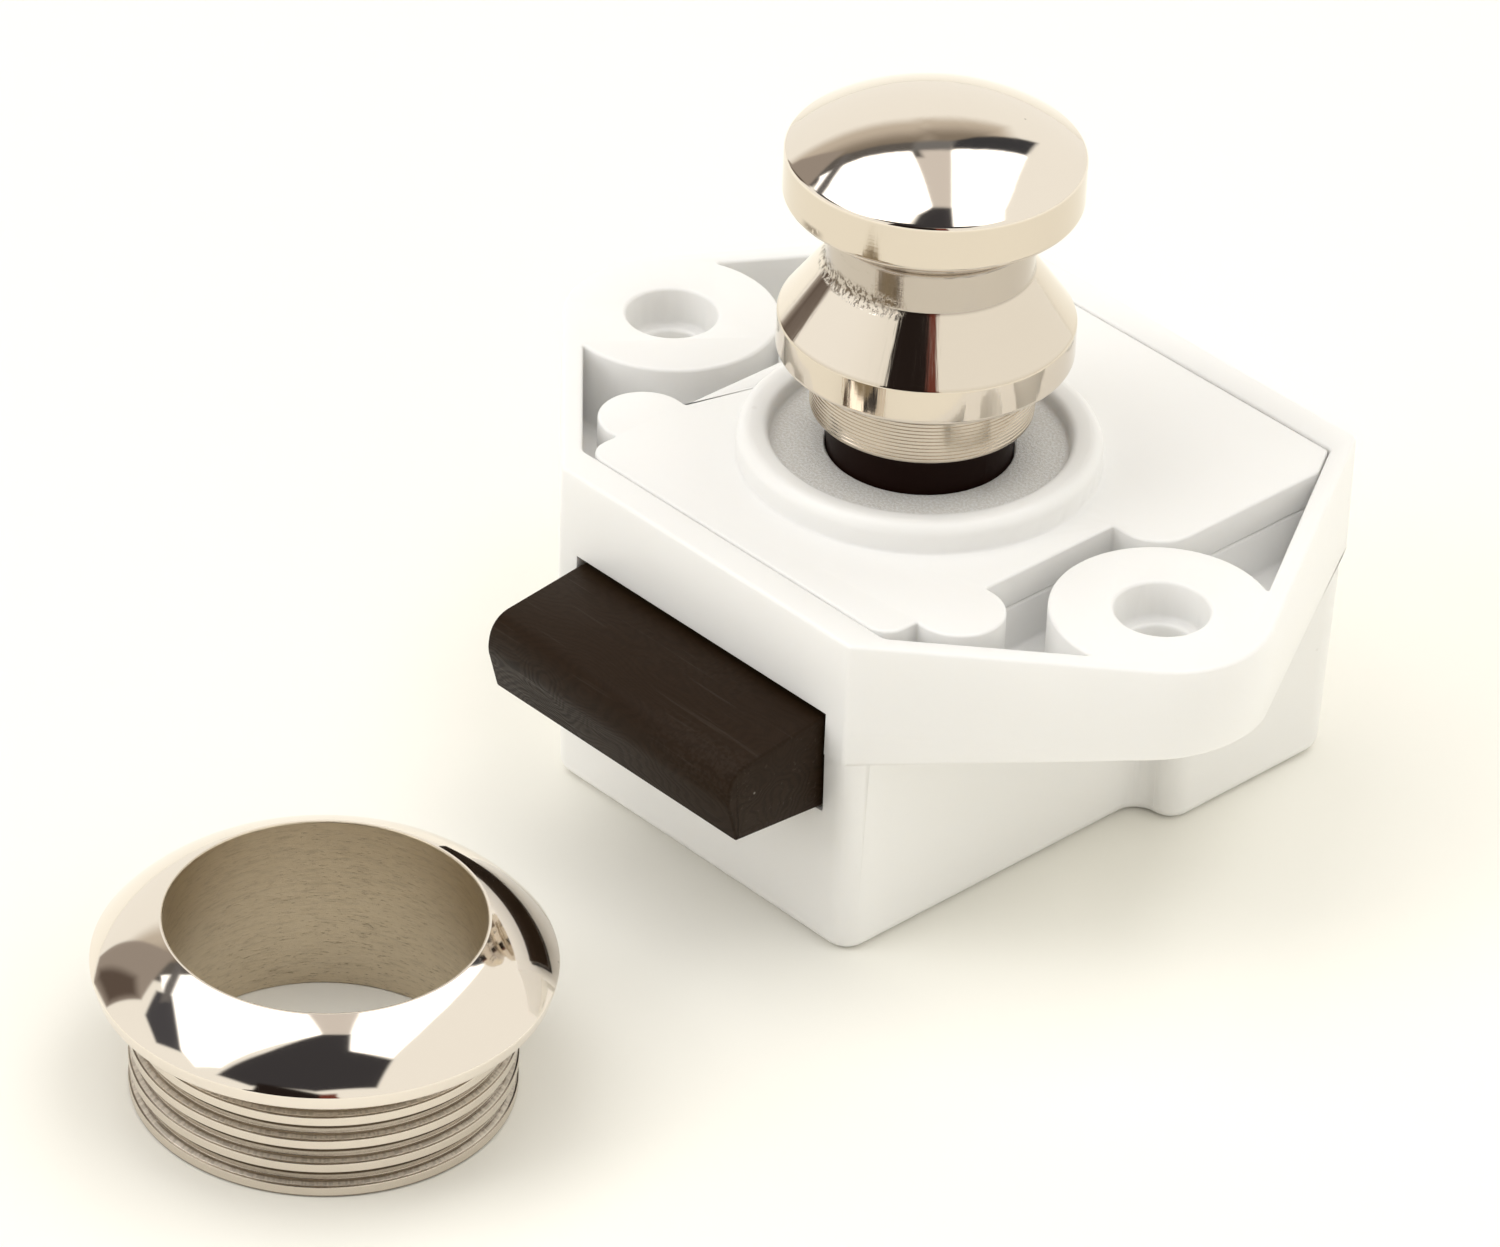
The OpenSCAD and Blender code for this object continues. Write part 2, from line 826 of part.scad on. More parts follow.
// Quarter bend of the wire, from +Z to +Y about the X axis
module wire_bend(r) {
    rotate([0, -90, 0])
        rotate_extrude(angle = 90, $fn = 48)
            translate([r, 0])
                circle(d = wire_d, $fn = 24);
}

module follower_wire() {
    r = wire_d;
    tip_end = post_y + track_depth - wire_gap;
    color("silver")
        translate([0, wire_y, 0]) {
            translate([0, 0, tip_z + r])
                cylinder(d = wire_d, h = wire_arm - 2 * r, $fn = 24);
            translate([0, r, tip_z])
                rotate([-90, 0, 0])
                    cylinder(d = wire_d, h = tip_end - wire_y - r, $fn = 24);
            translate([0, -r, pivot_z])
                rotate([90, 0, 0])
                    cylinder(d = wire_d, h = wire_leg - r, $fn = 24);
            translate([0, r, tip_z + r])
                mirror([0, 1, 0])
                    mirror([0, 0, 1])
                        wire_bend(r);
            translate([0, -r, pivot_z - r])
                wire_bend(r);
        }
}

// Section of the knob; a point is [radius, height over the stem]
module knob_profile() {
    cap_r = cap_d / 2;
    waist_r = waist_d / 2;
    base_r = base_d / 2;
    flange_z0 = base_h;
    flange_z1 = flange_z0 + lower_flange_h;
    waist_z0 = flange_z1 + cone_h;
    waist_z1 = waist_z0 + waist_h;
    cap_z0 = waist_z1 + cap_under_h;
    cap_z1 = cap_z0 + cap_band_h;
    crown_r = (cap_r * cap_r + crown_h * crown_h) / (2 * crown_h);
    crown_angle = asin(cap_r / crown_r);
    steps = 10;
    crown = [
        for (i = [2:steps])
            let (a = crown_angle * (1 - i / steps))
            [crown_r * sin(a), cap_z1 + crown_h - crown_r * (1 - cos(a))]
    ];
    polygon(concat(
        rounded(
            [
                [0, 0],
                [base_r, 0],
                [base_r, flange_z0],
                [cap_r, flange_z0],
                [cap_r, flange_z1],
                [waist_r, waist_z0],
                [waist_r, waist_z1],
                [cap_r, cap_z0],
                [cap_r, cap_z1],
                crown[0]
            ],
            [0, 0.15, 0.5, 0.35, 0.5, 0.6, 0.6, 0.3, 0.35, 0],
            4
        ),
        crown
    ));
}

module knob() {
    color([0.8, 0.77, 0.72])
        translate([0, 0, stem_top])
            difference() {
                rotate_extrude($fn = 128)
                    knob_profile();
                translate([0, 0, -1])
                    cylinder(d = stud_d + hole_gap, h = stud_in_knob + 1);
            }
}

module knob_stud() {
    color("gray")
        translate([0, 0, stem_top - stud_in_stem])
            cylinder(d = stud_d, h = stud_in_stem + stud_in_knob);
}

// Section of the trim ring; a point is [radius, height]
module ring_profile() {
    rim_r = ring_rim_d / 2;
    sleeve_r = sleeve_d / 2;
    bore_r = ring_bore_d / 2;
    difference() {
        polygon(rounded(
            [
                [bore_r, 0],
                [sleeve_r, 0],
                [sleeve_r, sleeve_h],
                [rim_r - 0.2, sleeve_h + rim_under_rise - 0.1],
                [rim_r, rim_top],
                [(rim_r + bore_r) / 2 + 0.35, ring_h - dome_h * 0.32],
                [bore_r + 0.2, ring_h],
                [bore_r, ring_h]
            ],
            [0, 0.1, 0.25, 0.2, 0.35, 2.2, 0.1, 0.1],
            4
        ));
        for (i = [0:groove_n - 1])
            translate([sleeve_r, sleeve_lip_h + i * groove_pitch])
                polygon([
                    [1, groove_w],
                    [1, 0],
                    [0, 0],
                    [-groove_depth, groove_depth * 0.5],
                    [-groove_depth, groove_w - 0.1],
                    [0, groove_w]
                ]);
    }
}

module trim_ring() {
    color([0.8, 0.77, 0.72])
        translate([ring_x, -ring_y, 0])
            rotate_extrude($fn = 128)
                ring_profile();
}

housing();
cover_plate();
latch_bolt();
plunger();
plunger_spring();
follower_wire();
knob();
knob_stud();
trim_ring();
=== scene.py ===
"""Looks of a push button cabinet lock, laid out as an add-on and run as a script.

Every piece is in metres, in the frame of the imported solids: +Z along the button axis,
the closed back at Z = 0, the bolt leaving towards -Y. Sizes below are in millimetres
where a name says so.
"""

import math

import bmesh
import bpy
from mathutils import Matrix, Vector


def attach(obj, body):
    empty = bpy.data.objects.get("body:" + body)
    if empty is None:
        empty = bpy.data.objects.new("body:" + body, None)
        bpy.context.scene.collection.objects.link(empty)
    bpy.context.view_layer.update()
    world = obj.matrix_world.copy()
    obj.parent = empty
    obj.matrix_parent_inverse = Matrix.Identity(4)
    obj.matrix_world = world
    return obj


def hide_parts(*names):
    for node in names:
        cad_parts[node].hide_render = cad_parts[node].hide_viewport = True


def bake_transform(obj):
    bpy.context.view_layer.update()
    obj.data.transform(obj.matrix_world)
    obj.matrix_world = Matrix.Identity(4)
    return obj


bl_info = {
    "name": "Push button cabinet lock",
    "version": (1, 0, 0),
    "blender": (4, 5, 0),
    "location": "3D View > Sidebar > Lock",
    "description": "Builds the visible pieces of a push button cabinet lock",
    "category": "Object",
}

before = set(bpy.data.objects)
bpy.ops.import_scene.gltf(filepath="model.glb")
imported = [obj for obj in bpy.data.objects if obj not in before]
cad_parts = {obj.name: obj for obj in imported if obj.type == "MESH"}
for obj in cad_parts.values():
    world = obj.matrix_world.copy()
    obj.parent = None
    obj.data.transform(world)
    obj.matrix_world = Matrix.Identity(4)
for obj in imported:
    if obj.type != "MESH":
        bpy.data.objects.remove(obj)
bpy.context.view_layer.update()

MM = 0.001

# Places and sizes that the scene shares with the solids, in millimetres. A name that ends in
# _R is a radius; the others are heights over the back, but for the ring's place, the counts
# and the pitch.
SPRING_FOOT = 1.6
SPRING_HEAD = 9.1
SPRING_R = 2.2
SPRING_WIRE_R = 0.225
SPRING_COILS = 8

KNOB_FOOT = 22.6
KNOB_GROOVES = (22.75, 25.95)
FLANGE_LOW = 26.1
FLANGE_TOP = 28.2
STUD_TOP = 30.15
WAIST_LOW = 31.5
WAIST_TOP = 33.8
CAP_LOW = 35.5
CROWN_LOW = 38.0
CROWN_TOP = 40.6
STUD_R = 2.05
WAIST_R = 5.5
BASE_R = 5.95
CAP_R = 7.875

RING_PLACE = (2.0, -42.7)
BORE_R = 8.2
SLEEVE_R = 9.95
RIM_R = 11.9
GROOVE_COUNT = 4
GROOVE_PITCH = 1.45
GROOVE_FIRST = 0.6
SLEEVE_TOP = 6.6
RIM_HEIGHT = 7.62
RING_TOP = 10.2


def mm(*values):
    """Millimetres as a vector in metres."""
    return Vector([v * MM for v in values])


# ---------------------------------------------------------------- settings


def length_setting(name, description, value, low, high, precision=5):
    """A length in metres that a user of the panel can change."""
    return bpy.props.FloatProperty(
        name=name,
        description=description,
        default=value,
        min=low,
        max=high,
        precision=precision,
        subtype="DISTANCE",
        unit="LENGTH",
    )


def edge_setting(name, description, value):
    """A radius on moulded edges."""
    return length_setting(name, description, value, 0.05 * MM, 0.3 * MM)


def count_setting(name, description, value, low, high):
    """A whole number that a user of the panel can change."""
    return bpy.props.IntProperty(
        name=name, description=description, default=value, min=low, max=high
    )


def strength_setting(name, description, value, high):
    """A brightness that a user of the panel can change."""
    return bpy.props.FloatProperty(
        name=name, description=description, default=value, min=0.0, max=high
    )


def power_setting(name, description, value):
    """The power of a lamp that a user of the panel can change."""
    return bpy.props.FloatProperty(
        name=name,
        description=description,
        default=value,
        min=0.0,
        max=50.0,
        subtype="POWER",
        unit="POWER",
    )


def colour_setting(name, description, value):
    """A colour that a user of the panel can change."""
    return bpy.props.FloatVectorProperty(
        name=name,
        description=description,
        default=value,
        min=0.0,
        max=1.0,
        size=3,
        subtype="COLOR",
    )


class LockSizes(bpy.types.PropertyGroup):
    """Sizes of the fine forms that the solids leave out"""

    housing_edge: edge_setting(
        "Housing edge", "Radius on the moulded edges of the housing", 0.2 * MM
    )
    cover_edge: edge_setting(
        "Cover edge", "Radius on the moulded edges of the cover plate", 0.15 * MM
    )
    bolt_edge: edge_setting("Bolt edge", "Radius on the moulded edges of the latch bolt", 0.16 * MM)
    base_grooves: count_setting(
        "Base grooves", "Number of fine turned grooves round the base of the knob", 15, 4, 18
    )
    base_groove_depth: length_setting(
        "Base groove depth",
        "Depth of the turned grooves round the base of the knob",
        0.045 * MM,
        0.0,
        0.1 * MM,
        6,
    )
    turned_steps: count_setting(
        "Steps round", "Number of steps round the turned metal pieces", 192, 48, 512
    )


class LockColours(bpy.types.PropertyGroup):
    """Colours of the finishes"""

    white: colour_setting("White plastic", "Housing and cover", (0.87, 0.867, 0.855))
    dark: colour_setting("Dark plastic", "Latch bolt", (0.0195, 0.0102, 0.0046))
    stem: colour_setting("Stem plastic", "Plunger", (0.0115, 0.0032, 0.0016))
    nickel: colour_setting("Nickel", "Knob and trim ring", (0.84, 0.775, 0.70))
    steel: colour_setting("Steel", "Spring, wire and stud", (0.55, 0.54, 0.52))


class LockStudio(bpy.types.PropertyGroup):
    """Light and floor of the studio"""

    box_strength: strength_setting(
        "Softbox strength", "Brightness of the two large softboxes overhead", 2.2, 20.0
    )
    side_lamp: power_setting("Side lamp", "Power of the soft lamp at the right", 0.55)
    front_lamp: power_setting("Front lamp", "Power of the soft lamp in front of the bolt", 3.0)
    top_lamp: power_setting("Top lamp", "Power of the soft lamp high over the camera", 2.1)
    wall_strength: strength_setting(
        "Wall strength", "Brightness of the pale backdrop and walls", 1.0, 5.0
    )
    floor_colour: colour_setting("Floor", "Table top under the lock", (0.925, 0.912, 0.85))


# ---------------------------------------------------------------- shader maths


class Socket:
    """An output socket of a node tree, or a number, with operators that add Math nodes."""

    def __init__(self, tree, source):
        self.tree = tree
        self.source = source

    def _math(self, operation, *others, clamp=False):
        return make_node(
            self.tree,
            "ShaderNodeMath",
            {"operation": operation, "use_clamp": clamp},
            self,
            *others,
        )

    def __add__(self, other):
        return self._math("ADD", other)

    __radd__ = __add__

    def __sub__(self, other):
        return self._math("SUBTRACT", other)

    def __rsub__(self, other):
        return Socket(self.tree, other)._math("SUBTRACT", self)

    def __mul__(self, other):
        return self._math("MULTIPLY", other)

    __rmul__ = __mul__

    def __truediv__(self, other):
        return self._math("DIVIDE", other)

    def __abs__(self):
        return self._math("ABSOLUTE")

    def smallest(self, other):
        return self._math("MINIMUM", other)

    def largest(self, other):
        return self._math("MAXIMUM", other)

    def wrapped(self, high, low):
        return self._math("WRAP", high, low)

    def power(self, other):
        return self._math("POWER", other)

    def arccosine(self):
        return self._math("ARCCOSINE")

    def clamped(self):
        return self._math("ADD", 0.0, clamp=True)

    def ramp(self, low, high):
        """0 up to low, 1 from high on, with a smooth step between them."""
        return make_node(
            self.tree,
            "ShaderNodeMapRange",
            {"interpolation_type": "SMOOTHSTEP"},
            Value=self,
            **{"From Min": low, "From Max": high, "To Min": 0.0, "To Max": 1.0},
        )


def plug(tree, socket, value):
    """Sets an input socket to a value, or links it to a Socket."""
    if isinstance(value, Socket):
        value = value.source
    if isinstance(value, bpy.types.NodeSocket):
        tree.links.new(value, socket)
    elif socket.type == "RGBA" and len(value) == 3:
        socket.default_value = (*value, 1.0)
    else:
        socket.default_value = value


def make_node(tree, kind, settings=None, *inputs, output=0, **named):
    """Adds a node, sets its settings first and then its sockets, and returns one output."""
    made = tree.nodes.new(kind)
    for name, value in (settings or {}).items():
        setattr(made, name, value)
    for i, value in enumerate(inputs):
        plug(tree, made.inputs[i], value)
    for name, value in named.items():
        plug(tree, made.inputs[name], value)
    if output is None:
        return made
    return Socket(tree, made.outputs[output])


def mix_colours(tree, factor, a, b):
    """Colour a where the factor is 0, b where it is 1."""
    made = make_node(tree, "ShaderNodeMix", {"data_type": "RGBA"}, output=None)
    for i, value in ((0, factor), (6, a), (7, b)):
        plug(tree, made.inputs[i], value)
    return Socket(tree, made.outputs[2])


class Finish:
    """A material under construction: coordinates, textures, mixes and the surface shader."""

    def __init__(self, name):
        self.material = bpy.data.materials.new(name)
        self.material.use_nodes = True
        self.tree = self.material.node_tree
        self.tree.nodes.clear()
        place = make_node(self.tree, "ShaderNodeTexCoord", output=None)
        self.place = Socket(self.tree, place.outputs["Object"])

    def node(self, kind, settings=None, *inputs, output=0, **named):
        return make_node(self.tree, kind, settings, *inputs, output=output, **named)

    def split(self, vector):
        made = self.node("ShaderNodeSeparateXYZ", None, vector, output=None)
        return [Socket(self.tree, o) for o in made.outputs]

    def join(self, x, y, z):
        return self.node("ShaderNodeCombineXYZ", None, x, y, z)

    def noise(self, vector, scale, detail=2.0, roughness=0.5, distortion=0.0):
        return self.node(
            "ShaderNodeTexNoise",
            {"noise_dimensions": "3D"},
            Vector=vector,
            Scale=scale,
            Detail=detail,
            Roughness=roughness,
            Distortion=distortion,
        )

    def specks(self, scale, radius, share):
        """Small round specks, on a share of the cells of the given scale."""
        cells = self.node(
            "ShaderNodeTexVoronoi",
            {"feature": "F1"},
            Vector=self.place,
            Scale=scale,
            output=None,
        )
        near = 1.0 - Socket(self.tree, cells.outputs["Distance"]).ramp(radius * 0.4, radius)
        pick = self.split(Socket(self.tree, cells.outputs["Color"]))[0]
        return near * (1.0 - pick.ramp(share, share + 0.01))

    def mix(self, factor, a, b):
        return mix_colours(self.tree, factor, a, b)

    def bump(self, height, distance, strength):
        return self.node(
            "ShaderNodeBump", None, Height=height, Distance=distance, Strength=strength
        )

    def around(self, centre=(0.0, 0.0)):
        """Radius, height, and a point on a unit circle, about an upright axis."""
        x, y, z = self.split(self.place)
        dx = x - centre[0] * MM
        dy = y - centre[1] * MM
        radius = (dx * dx + dy * dy).power(0.5)
        return radius, z, dx / radius, dy / radius

    def surface(self, **sockets):
        named = {name.replace("_", " "): value for name, value in sockets.items()}
        shader = self.node("ShaderNodeBsdfPrincipled", None, **named)
        self.node("ShaderNodeOutputMaterial", None, Surface=shader, output=None)
        return self.material


# ---------------------------------------------------------------- finishes


def white_plastic(name, colour, grain=False):
    """Glossy moulded plastic with a faint orange peel and dust specks; with grain, a grain bump on
    the collar floor under a speckle of painted glints and painted shade.
    """
    f = Finish(name)
    cloud = f.noise(f.place, 90.0, 3.0)
    peel = f.noise(f.place, 1500.0, 2.0)
    fine = f.noise(f.place, 9000.0, 2.0)
    dust = f.specks(420.0, 0.09, 0.05)
    shade = f.mix(cloud, tuple(c * 0.975 for c in colour), colour)
    shade = f.mix(dust * 0.35, shade, (0.35, 0.30, 0.24))
    rough = 0.26 + cloud * 0.06 + fine * 0.04
    height = peel * 0.5 + fine * 0.12
    if grain:
        radius, z, _, _ = f.around()
        inside = (1.0 - radius.ramp(7.6 * MM, 8.0 * MM)) * z.ramp(19.8 * MM, 20.0 * MM)
        inside = inside * (1.0 - z.ramp(20.3 * MM, 20.5 * MM))
        spark = f.noise(f.place, 6500.0, 3.0, 0.7)
        painted_glint = spark.ramp(0.44, 0.60)
        rough = rough + inside * 0.2
        height = height + inside * spark * 16.0
        # Inside the collar the colour is a speckle of painted glints and painted shade, over the
        # real grain in the bump
        shade = f.mix(inside * 0.8, shade, f.mix(painted_glint, (0.80, 0.78, 0.74), (0.97, 0.97, 0.96)))
    return f.surface(
        Base_Color=shade,
        Roughness=rough,
        Normal=f.bump(height, 0.02 * MM, 0.5),
        IOR=1.5,
        Subsurface_Weight=0.25,
        Subsurface_Radius=(1.0, 0.95, 0.88),
        Subsurface_Scale=1.0 * MM,
    )


def contour(f, vector, scale, count, width, detail=1.5):
    """Thin lines of equal height, as on a map, through a slow noise."""
    level = f.noise(vector, scale, detail, 0.45) * count
    return 1.0 - abs(level.wrapped(0.5, -0.5)).ramp(width * 0.3, width)


def bolt_plastic(name, colour):
    """Satin dark plastic with moulding flow lines, pale scuffs, scratches and dust."""
    f = Finish(name)
    x, y, z = f.split(f.place)
    fine = f.noise(f.place, 4200.0, 2.0)
    whorl = contour(f, f.join(x * 0.8, y * 1.2, z * 1.3), 230.0, 34.0, 0.36)
    sweep = contour(f, f.join(x * 0.35, y, z), 150.0, 46.0, 0.32, 3.0)
    low = 1.0 - z.ramp(10.5 * MM, 13.6 * MM)
    left = 1.0 - x.ramp(-5.0 * MM, 2.0 * MM)
    lines = whorl * (0.12 + low * left * 0.75) + sweep * (0.22 + low * 0.25)
    scratch = f.noise(f.join(x * 0.04, y, z), 3600.0, 2.0, 0.6).ramp(0.60, 0.75)
    patch = f.noise(f.place, 190.0, 3.0, 0.6)
    scuff = (patch.ramp(0.48, 0.72) * fine.ramp(0.40, 0.62)).largest(
        x.ramp(0.0, 7.0 * MM) * (1.0 - y.ramp(-20.9 * MM, -19.6 * MM)) * fine.ramp(0.42, 0.6)
    )
    dust = f.specks(650.0, 0.07, 0.05)
    shade = f.mix((lines * 0.75).clamped(), colour, tuple(c * 0.4 for c in colour))
    shade = f.mix(scuff * 0.14 + scratch * 0.22, shade, (0.058, 0.047, 0.037))
    shade = f.mix(dust * 0.7, shade, (0.35, 0.32, 0.28))
    return f.surface(
        Base_Color=shade,
        Roughness=0.44 + lines * 0.08 + scuff * 0.10 - scratch * 0.08,
        Normal=f.bump(lines * -0.5 + fine * 0.3 + scratch * 0.5, 0.02 * MM, 0.7),
        IOR=1.45,
        Specular_IOR_Level=0.11,
    )


def stem_plastic(name, colour):
    """Very dark plastic of the plunger, with a fine grain."""
    f = Finish(name)
    fine = f.noise(f.place, 3000.0, 3.0, 0.6)
    slow = f.noise(f.place, 250.0, 2.0)
    shade = f.mix(slow * 0.5 + fine * 0.3, colour, tuple(c * 0.55 for c in colour))
    return f.surface(
        Base_Color=shade,
        Roughness=0.42 + fine * 0.12,
        Normal=f.bump(fine, 0.01 * MM, 0.4),
        IOR=1.45,
        Specular_IOR_Level=0.10,
    )


def polished_nickel(name, colour, centre, marks):
    """Polished nickel plate on a turned piece; marks adds what one piece has of its own."""
    f = Finish(name)
    radius, z, cx, cy = f.around(centre)
    tooling = f.noise(f.join(cx * 0.004, cy * 0.004, z * 9.0 + radius * 7.0), 900.0, 3.0, 0.6)
    wave = f.noise(f.join(cx * 0.02, cy * 0.02, z * 3.0), 160.0, 2.0)
    haze = f.noise(f.place, 260.0, 4.0, 0.6)
    pits = f.specks(1100.0, 0.10, 0.02)
    tint, wear_and_shade, rough, height = marks(f, radius, z, cx, cy)
    shade = f.mix(haze * 0.2 + tooling * 0.12, colour, tuple(c * 0.9 for c in colour))
    shade = f.mix(tint, shade, (colour[0] * 0.70, colour[1] * 0.64, colour[2] * 0.50))
    # Darkened towards brown over pits and wear, and over the painted shade in the ring's grooves
    shade = f.mix((pits * 0.5 + wear_and_shade).clamped(), shade, (0.19, 0.15, 0.11))
    return f.surface(
        Base_Color=shade,
        Metallic=1.0,
        Roughness=0.04 + haze * 0.03 + rough,
        Normal=f.bump(tooling * 0.10 + wave * 0.3 + height, 0.01 * MM, 0.6),
    )


def knob_marks(f, radius, z, cx, cy):
    """Satin waist with a pitted line at its foot, brushed bands, satin grooves on the base, and a
    painted reflection on the cone at the left of the front.
    """
    waist = z.ramp(31.35 * MM, 31.5 * MM) * (1.0 - z.ramp(33.8 * MM, 34.6 * MM))
    bands = 1.0 - z.ramp(37.75 * MM, 37.95 * MM)
    base = 1.0 - z.ramp(25.95 * MM, 26.1 * MM)
    brush = f.noise(f.join(cx * 0.006, cy * 0.006, z * 6.0), 900.0, 4.0, 0.7)
    upright = f.noise(f.join(cx * 0.05, cy * 0.05, z * 0.4), 900.0, 2.0, 0.6)
    # The rough line is on the left of the front, where the tool marks weren't polished out
    side = (0.15 - cx * 0.75 - cy * 0.65).ramp(0.2, 0.8)
    foot = z.ramp(31.0 * MM, 31.25 * MM) * (1.0 - z.ramp(31.7 * MM, 32.4 * MM))
    rough_spots = f.noise(f.join(cx * 0.020, cy * 0.020, z * 2.6), 1300.0, 3.0, 0.7)
    pitted = foot * side * rough_spots.ramp(0.48, 0.60)
    stain = (1.0 - abs(z - 35.8 * MM).ramp(0.05 * MM, 0.32 * MM)) * (
        1.0 - abs(cx + 0.12).ramp(0.03, 0.14)
    )
    stain = stain * (1.0 - cy.ramp(-0.8, -0.6)) * rough_spots.ramp(0.34, 0.46)
    streak = brush.ramp(0.58, 0.72) * side
    cone = z.ramp(28.2 * MM, 28.4 * MM) * (1.0 - z.ramp(31.3 * MM, 31.5 * MM))
    # On the cone the tint fades towards the left of the front: a painted reflection there
    dull_and_sheen = bands - waist - cone * (0.4 + side * 0.6)
    tint = dull_and_sheen * 0.34 + base * 0.10
    wear_and_shade = pitted * 0.8 + waist * (0.50 + streak * 0.3) + stain * 0.7 + base * 0.03 + dull_and_sheen * 0.10
    rough = waist * 0.06 + base * 0.10 + bands * upright.ramp(0.45, 0.7) * 0.04 + pitted * 0.2
    height = waist * brush * 0.8 + bands * upright * 0.5 + pitted * -5.0
    return tint.clamped(), wear_and_shade.clamped(), rough, height


def ring_marks(f, radius, z, cx, cy):
    """Satin turned bore and satin grooves on the sleeve under the polished rim, with painted shade
    and painted highlights in the grooves.
    """
    bore = 1.0 - radius.ramp(8.24 * MM, 8.3 * MM)
    grooved = (1.0 - z.ramp(6.5 * MM, 6.7 * MM)) * radius.ramp(8.9 * MM, 9.1 * MM)
    # Up across one groove in mm: a thin painted shadow line at its edge, a lip with tool marks and
    # a painted highlight, and a brown floor with painted shade that darkens under the upper lip
    up = ((z - GROOVE_FIRST * MM) / (GROOVE_PITCH * MM)).wrapped(1.0, 0.0) * GROOVE_PITCH
    lip = up.ramp(0.045, 0.07) * (1.0 - up.ramp(0.13, 0.17))
    # Floor band of each groove, darkened below with painted shade
    floor = up.ramp(0.13, 0.18) * (1.0 - up.ramp(0.42, 0.50))
    # Painted shadow: a band under each upper lip and a thin line at each lower edge
    lines = up.ramp(0.42, 0.50) * (1.0 - up.ramp(0.95, 1.0)) + (1.0 - up.ramp(0.03, 0.055))
    chatter = f.noise(f.join(cx * 0.010, cy * 0.010, z * 0.15), 5200.0, 1.0).ramp(0.42, 0.58)
    streak = f.noise(f.join(cx * 0.010, cy * 0.010, z * 7.0), 620.0, 6.0, 0.78)
    fine = f.noise(f.join(cx * 0.012, cy * 0.012, z * 18.0), 800.0, 4.0, 0.7)
    cut = f.noise(f.join(cx * 0.016, cy * 0.016, z * 12.0), 1100.0, 3.0, 0.6).ramp(0.60, 0.70)
    lower = 1.0 - z.ramp(1.0 * MM, 5.0 * MM)
    tint = bore * (0.62 + fine * 0.35) + grooved * 0.14
    wear_and_shade = bore * (0.04 + streak.ramp(0.46, 0.72) * 0.30 + cut * (0.18 + lower * 0.30))
    # In the grooves this darkening is painted shade, on the floor band and along the painted shadow
    # lines
    wear_and_shade = wear_and_shade + grooved * (0.10 + floor * (0.20 + fine * 0.35) + lines * 0.72)
    # Painted highlight on each lower lip, broken by darker beads of real tool chatter
    wear_and_shade = wear_and_shade + grooved * lip * (chatter * 0.25 - 0.10)
    rough = bore * (0.24 + fine * 0.1) + grooved * (0.14 + fine * 0.08 + lip * 0.35)
    height = bore * (streak * 2.6 + fine * 1.6 - cut * 2.0) + grooved * (fine + lip * chatter * 3.0)
    return tint.clamped(), wear_and_shade.clamped(), rough, height


def plain_steel(name, colour):
    """Drawn steel with a grain along Z and a little staining."""
    f = Finish(name)
    x, y, z = f.split(f.place)
    grain = f.noise(f.join(x * 6.0, y * 6.0, z), 1400.0, 3.0, 0.6)
    stain = f.noise(f.place, 400.0, 3.0)
    return f.surface(
        Base_Color=f.mix(stain.ramp(0.4, 0.8) * 0.5, colour, tuple(c * 0.6 for c in colour)),
        Metallic=1.0,
        Roughness=0.28 + grain * 0.15,
        Normal=f.bump(grain, 0.01 * MM, 0.4),
    )


def table_top(name, colour):
    """Matt pale floor with a barely visible mottle."""
    f = Finish(name)
    mottle = f.noise(f.place, 12.0, 4.0)
    return f.surface(
        Base_Color=f.mix(mottle, tuple(c * 0.985 for c in colour), colour),
        Roughness=0.85,
        Specular_IOR_Level=0.2,
    )


# ---------------------------------------------------------------- mesh tools


def new_object(name, mesh):
    made = bpy.data.objects.new(name, mesh)
    bpy.context.scene.collection.objects.link(made)
    return made


def finish_piece(piece, body, slot_name, material, *replaced):
    """Gives a piece its finish and its body, and hides the solids that it stands for."""
    piece.data.materials.clear()
    piece.data.materials.append(material)
    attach(piece, body)
    if replaced:
        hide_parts(*replaced)
    return piece


def dress_node(node, material):
    """Gives a carried-over solid its finish."""
    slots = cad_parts[node].data.materials
    slots.clear()
    slots.append(material)


# Faces of a solid that differ by less than FLAT degrees are one; edges bent by more than BENT
# degrees are rounded
FLAT_DEGREES = 0.6
BENT_DEGREES = 30
WELD = 1e-6


def both_sides(low, high):
    """A box in mm and its mirror image on the other side of the lock."""
    return (low, high), ((-high[0], *low[1:]), (-low[0], *high[1:]))


def lies_inside(edge, low, high):
    """Whether both ends of an edge are in a box in mm."""
    return all(low[k] * MM <= end.co[k] <= high[k] * MM for end in edge.verts for k in range(3))


def rounded_copy(name, node, edge, crisp=()):
    """A copy of a solid with its edges rounded, but for those inside the crisp boxes, in mm."""
    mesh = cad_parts[node].data.copy()
    mesh.name = name
    work = bmesh.new()
    work.from_mesh(mesh)
    bmesh.ops.remove_doubles(work, verts=work.verts, dist=WELD)
    flat = math.radians(FLAT_DEGREES)
    bmesh.ops.dissolve_limit(work, angle_limit=flat, verts=work.verts, edges=work.edges)
    weight = work.edges.layers.float.new("bevel_weight_edge")
    for line in work.edges:
        bent = len(line.link_faces) == 2 and line.calc_face_angle() > math.radians(BENT_DEGREES)
        kept = any(lies_inside(line, *box) for box in crisp)
        line[weight] = 1.0 if bent and not kept else 0.0
        line.smooth = not (bent and kept)
    work.to_mesh(mesh)
    work.free()
    piece = new_object(name, mesh)
    bevel = piece.modifiers.new("Rounded edges", "BEVEL")
    bevel.limit_method = "WEIGHT"
    bevel.width = edge
    bevel.segments = 3
    bevel.use_clamp_overlap = False
    bevel.harden_normals = True
    bevel.miter_outer = "MITER_ARC"
    return apply_modifiers(piece)


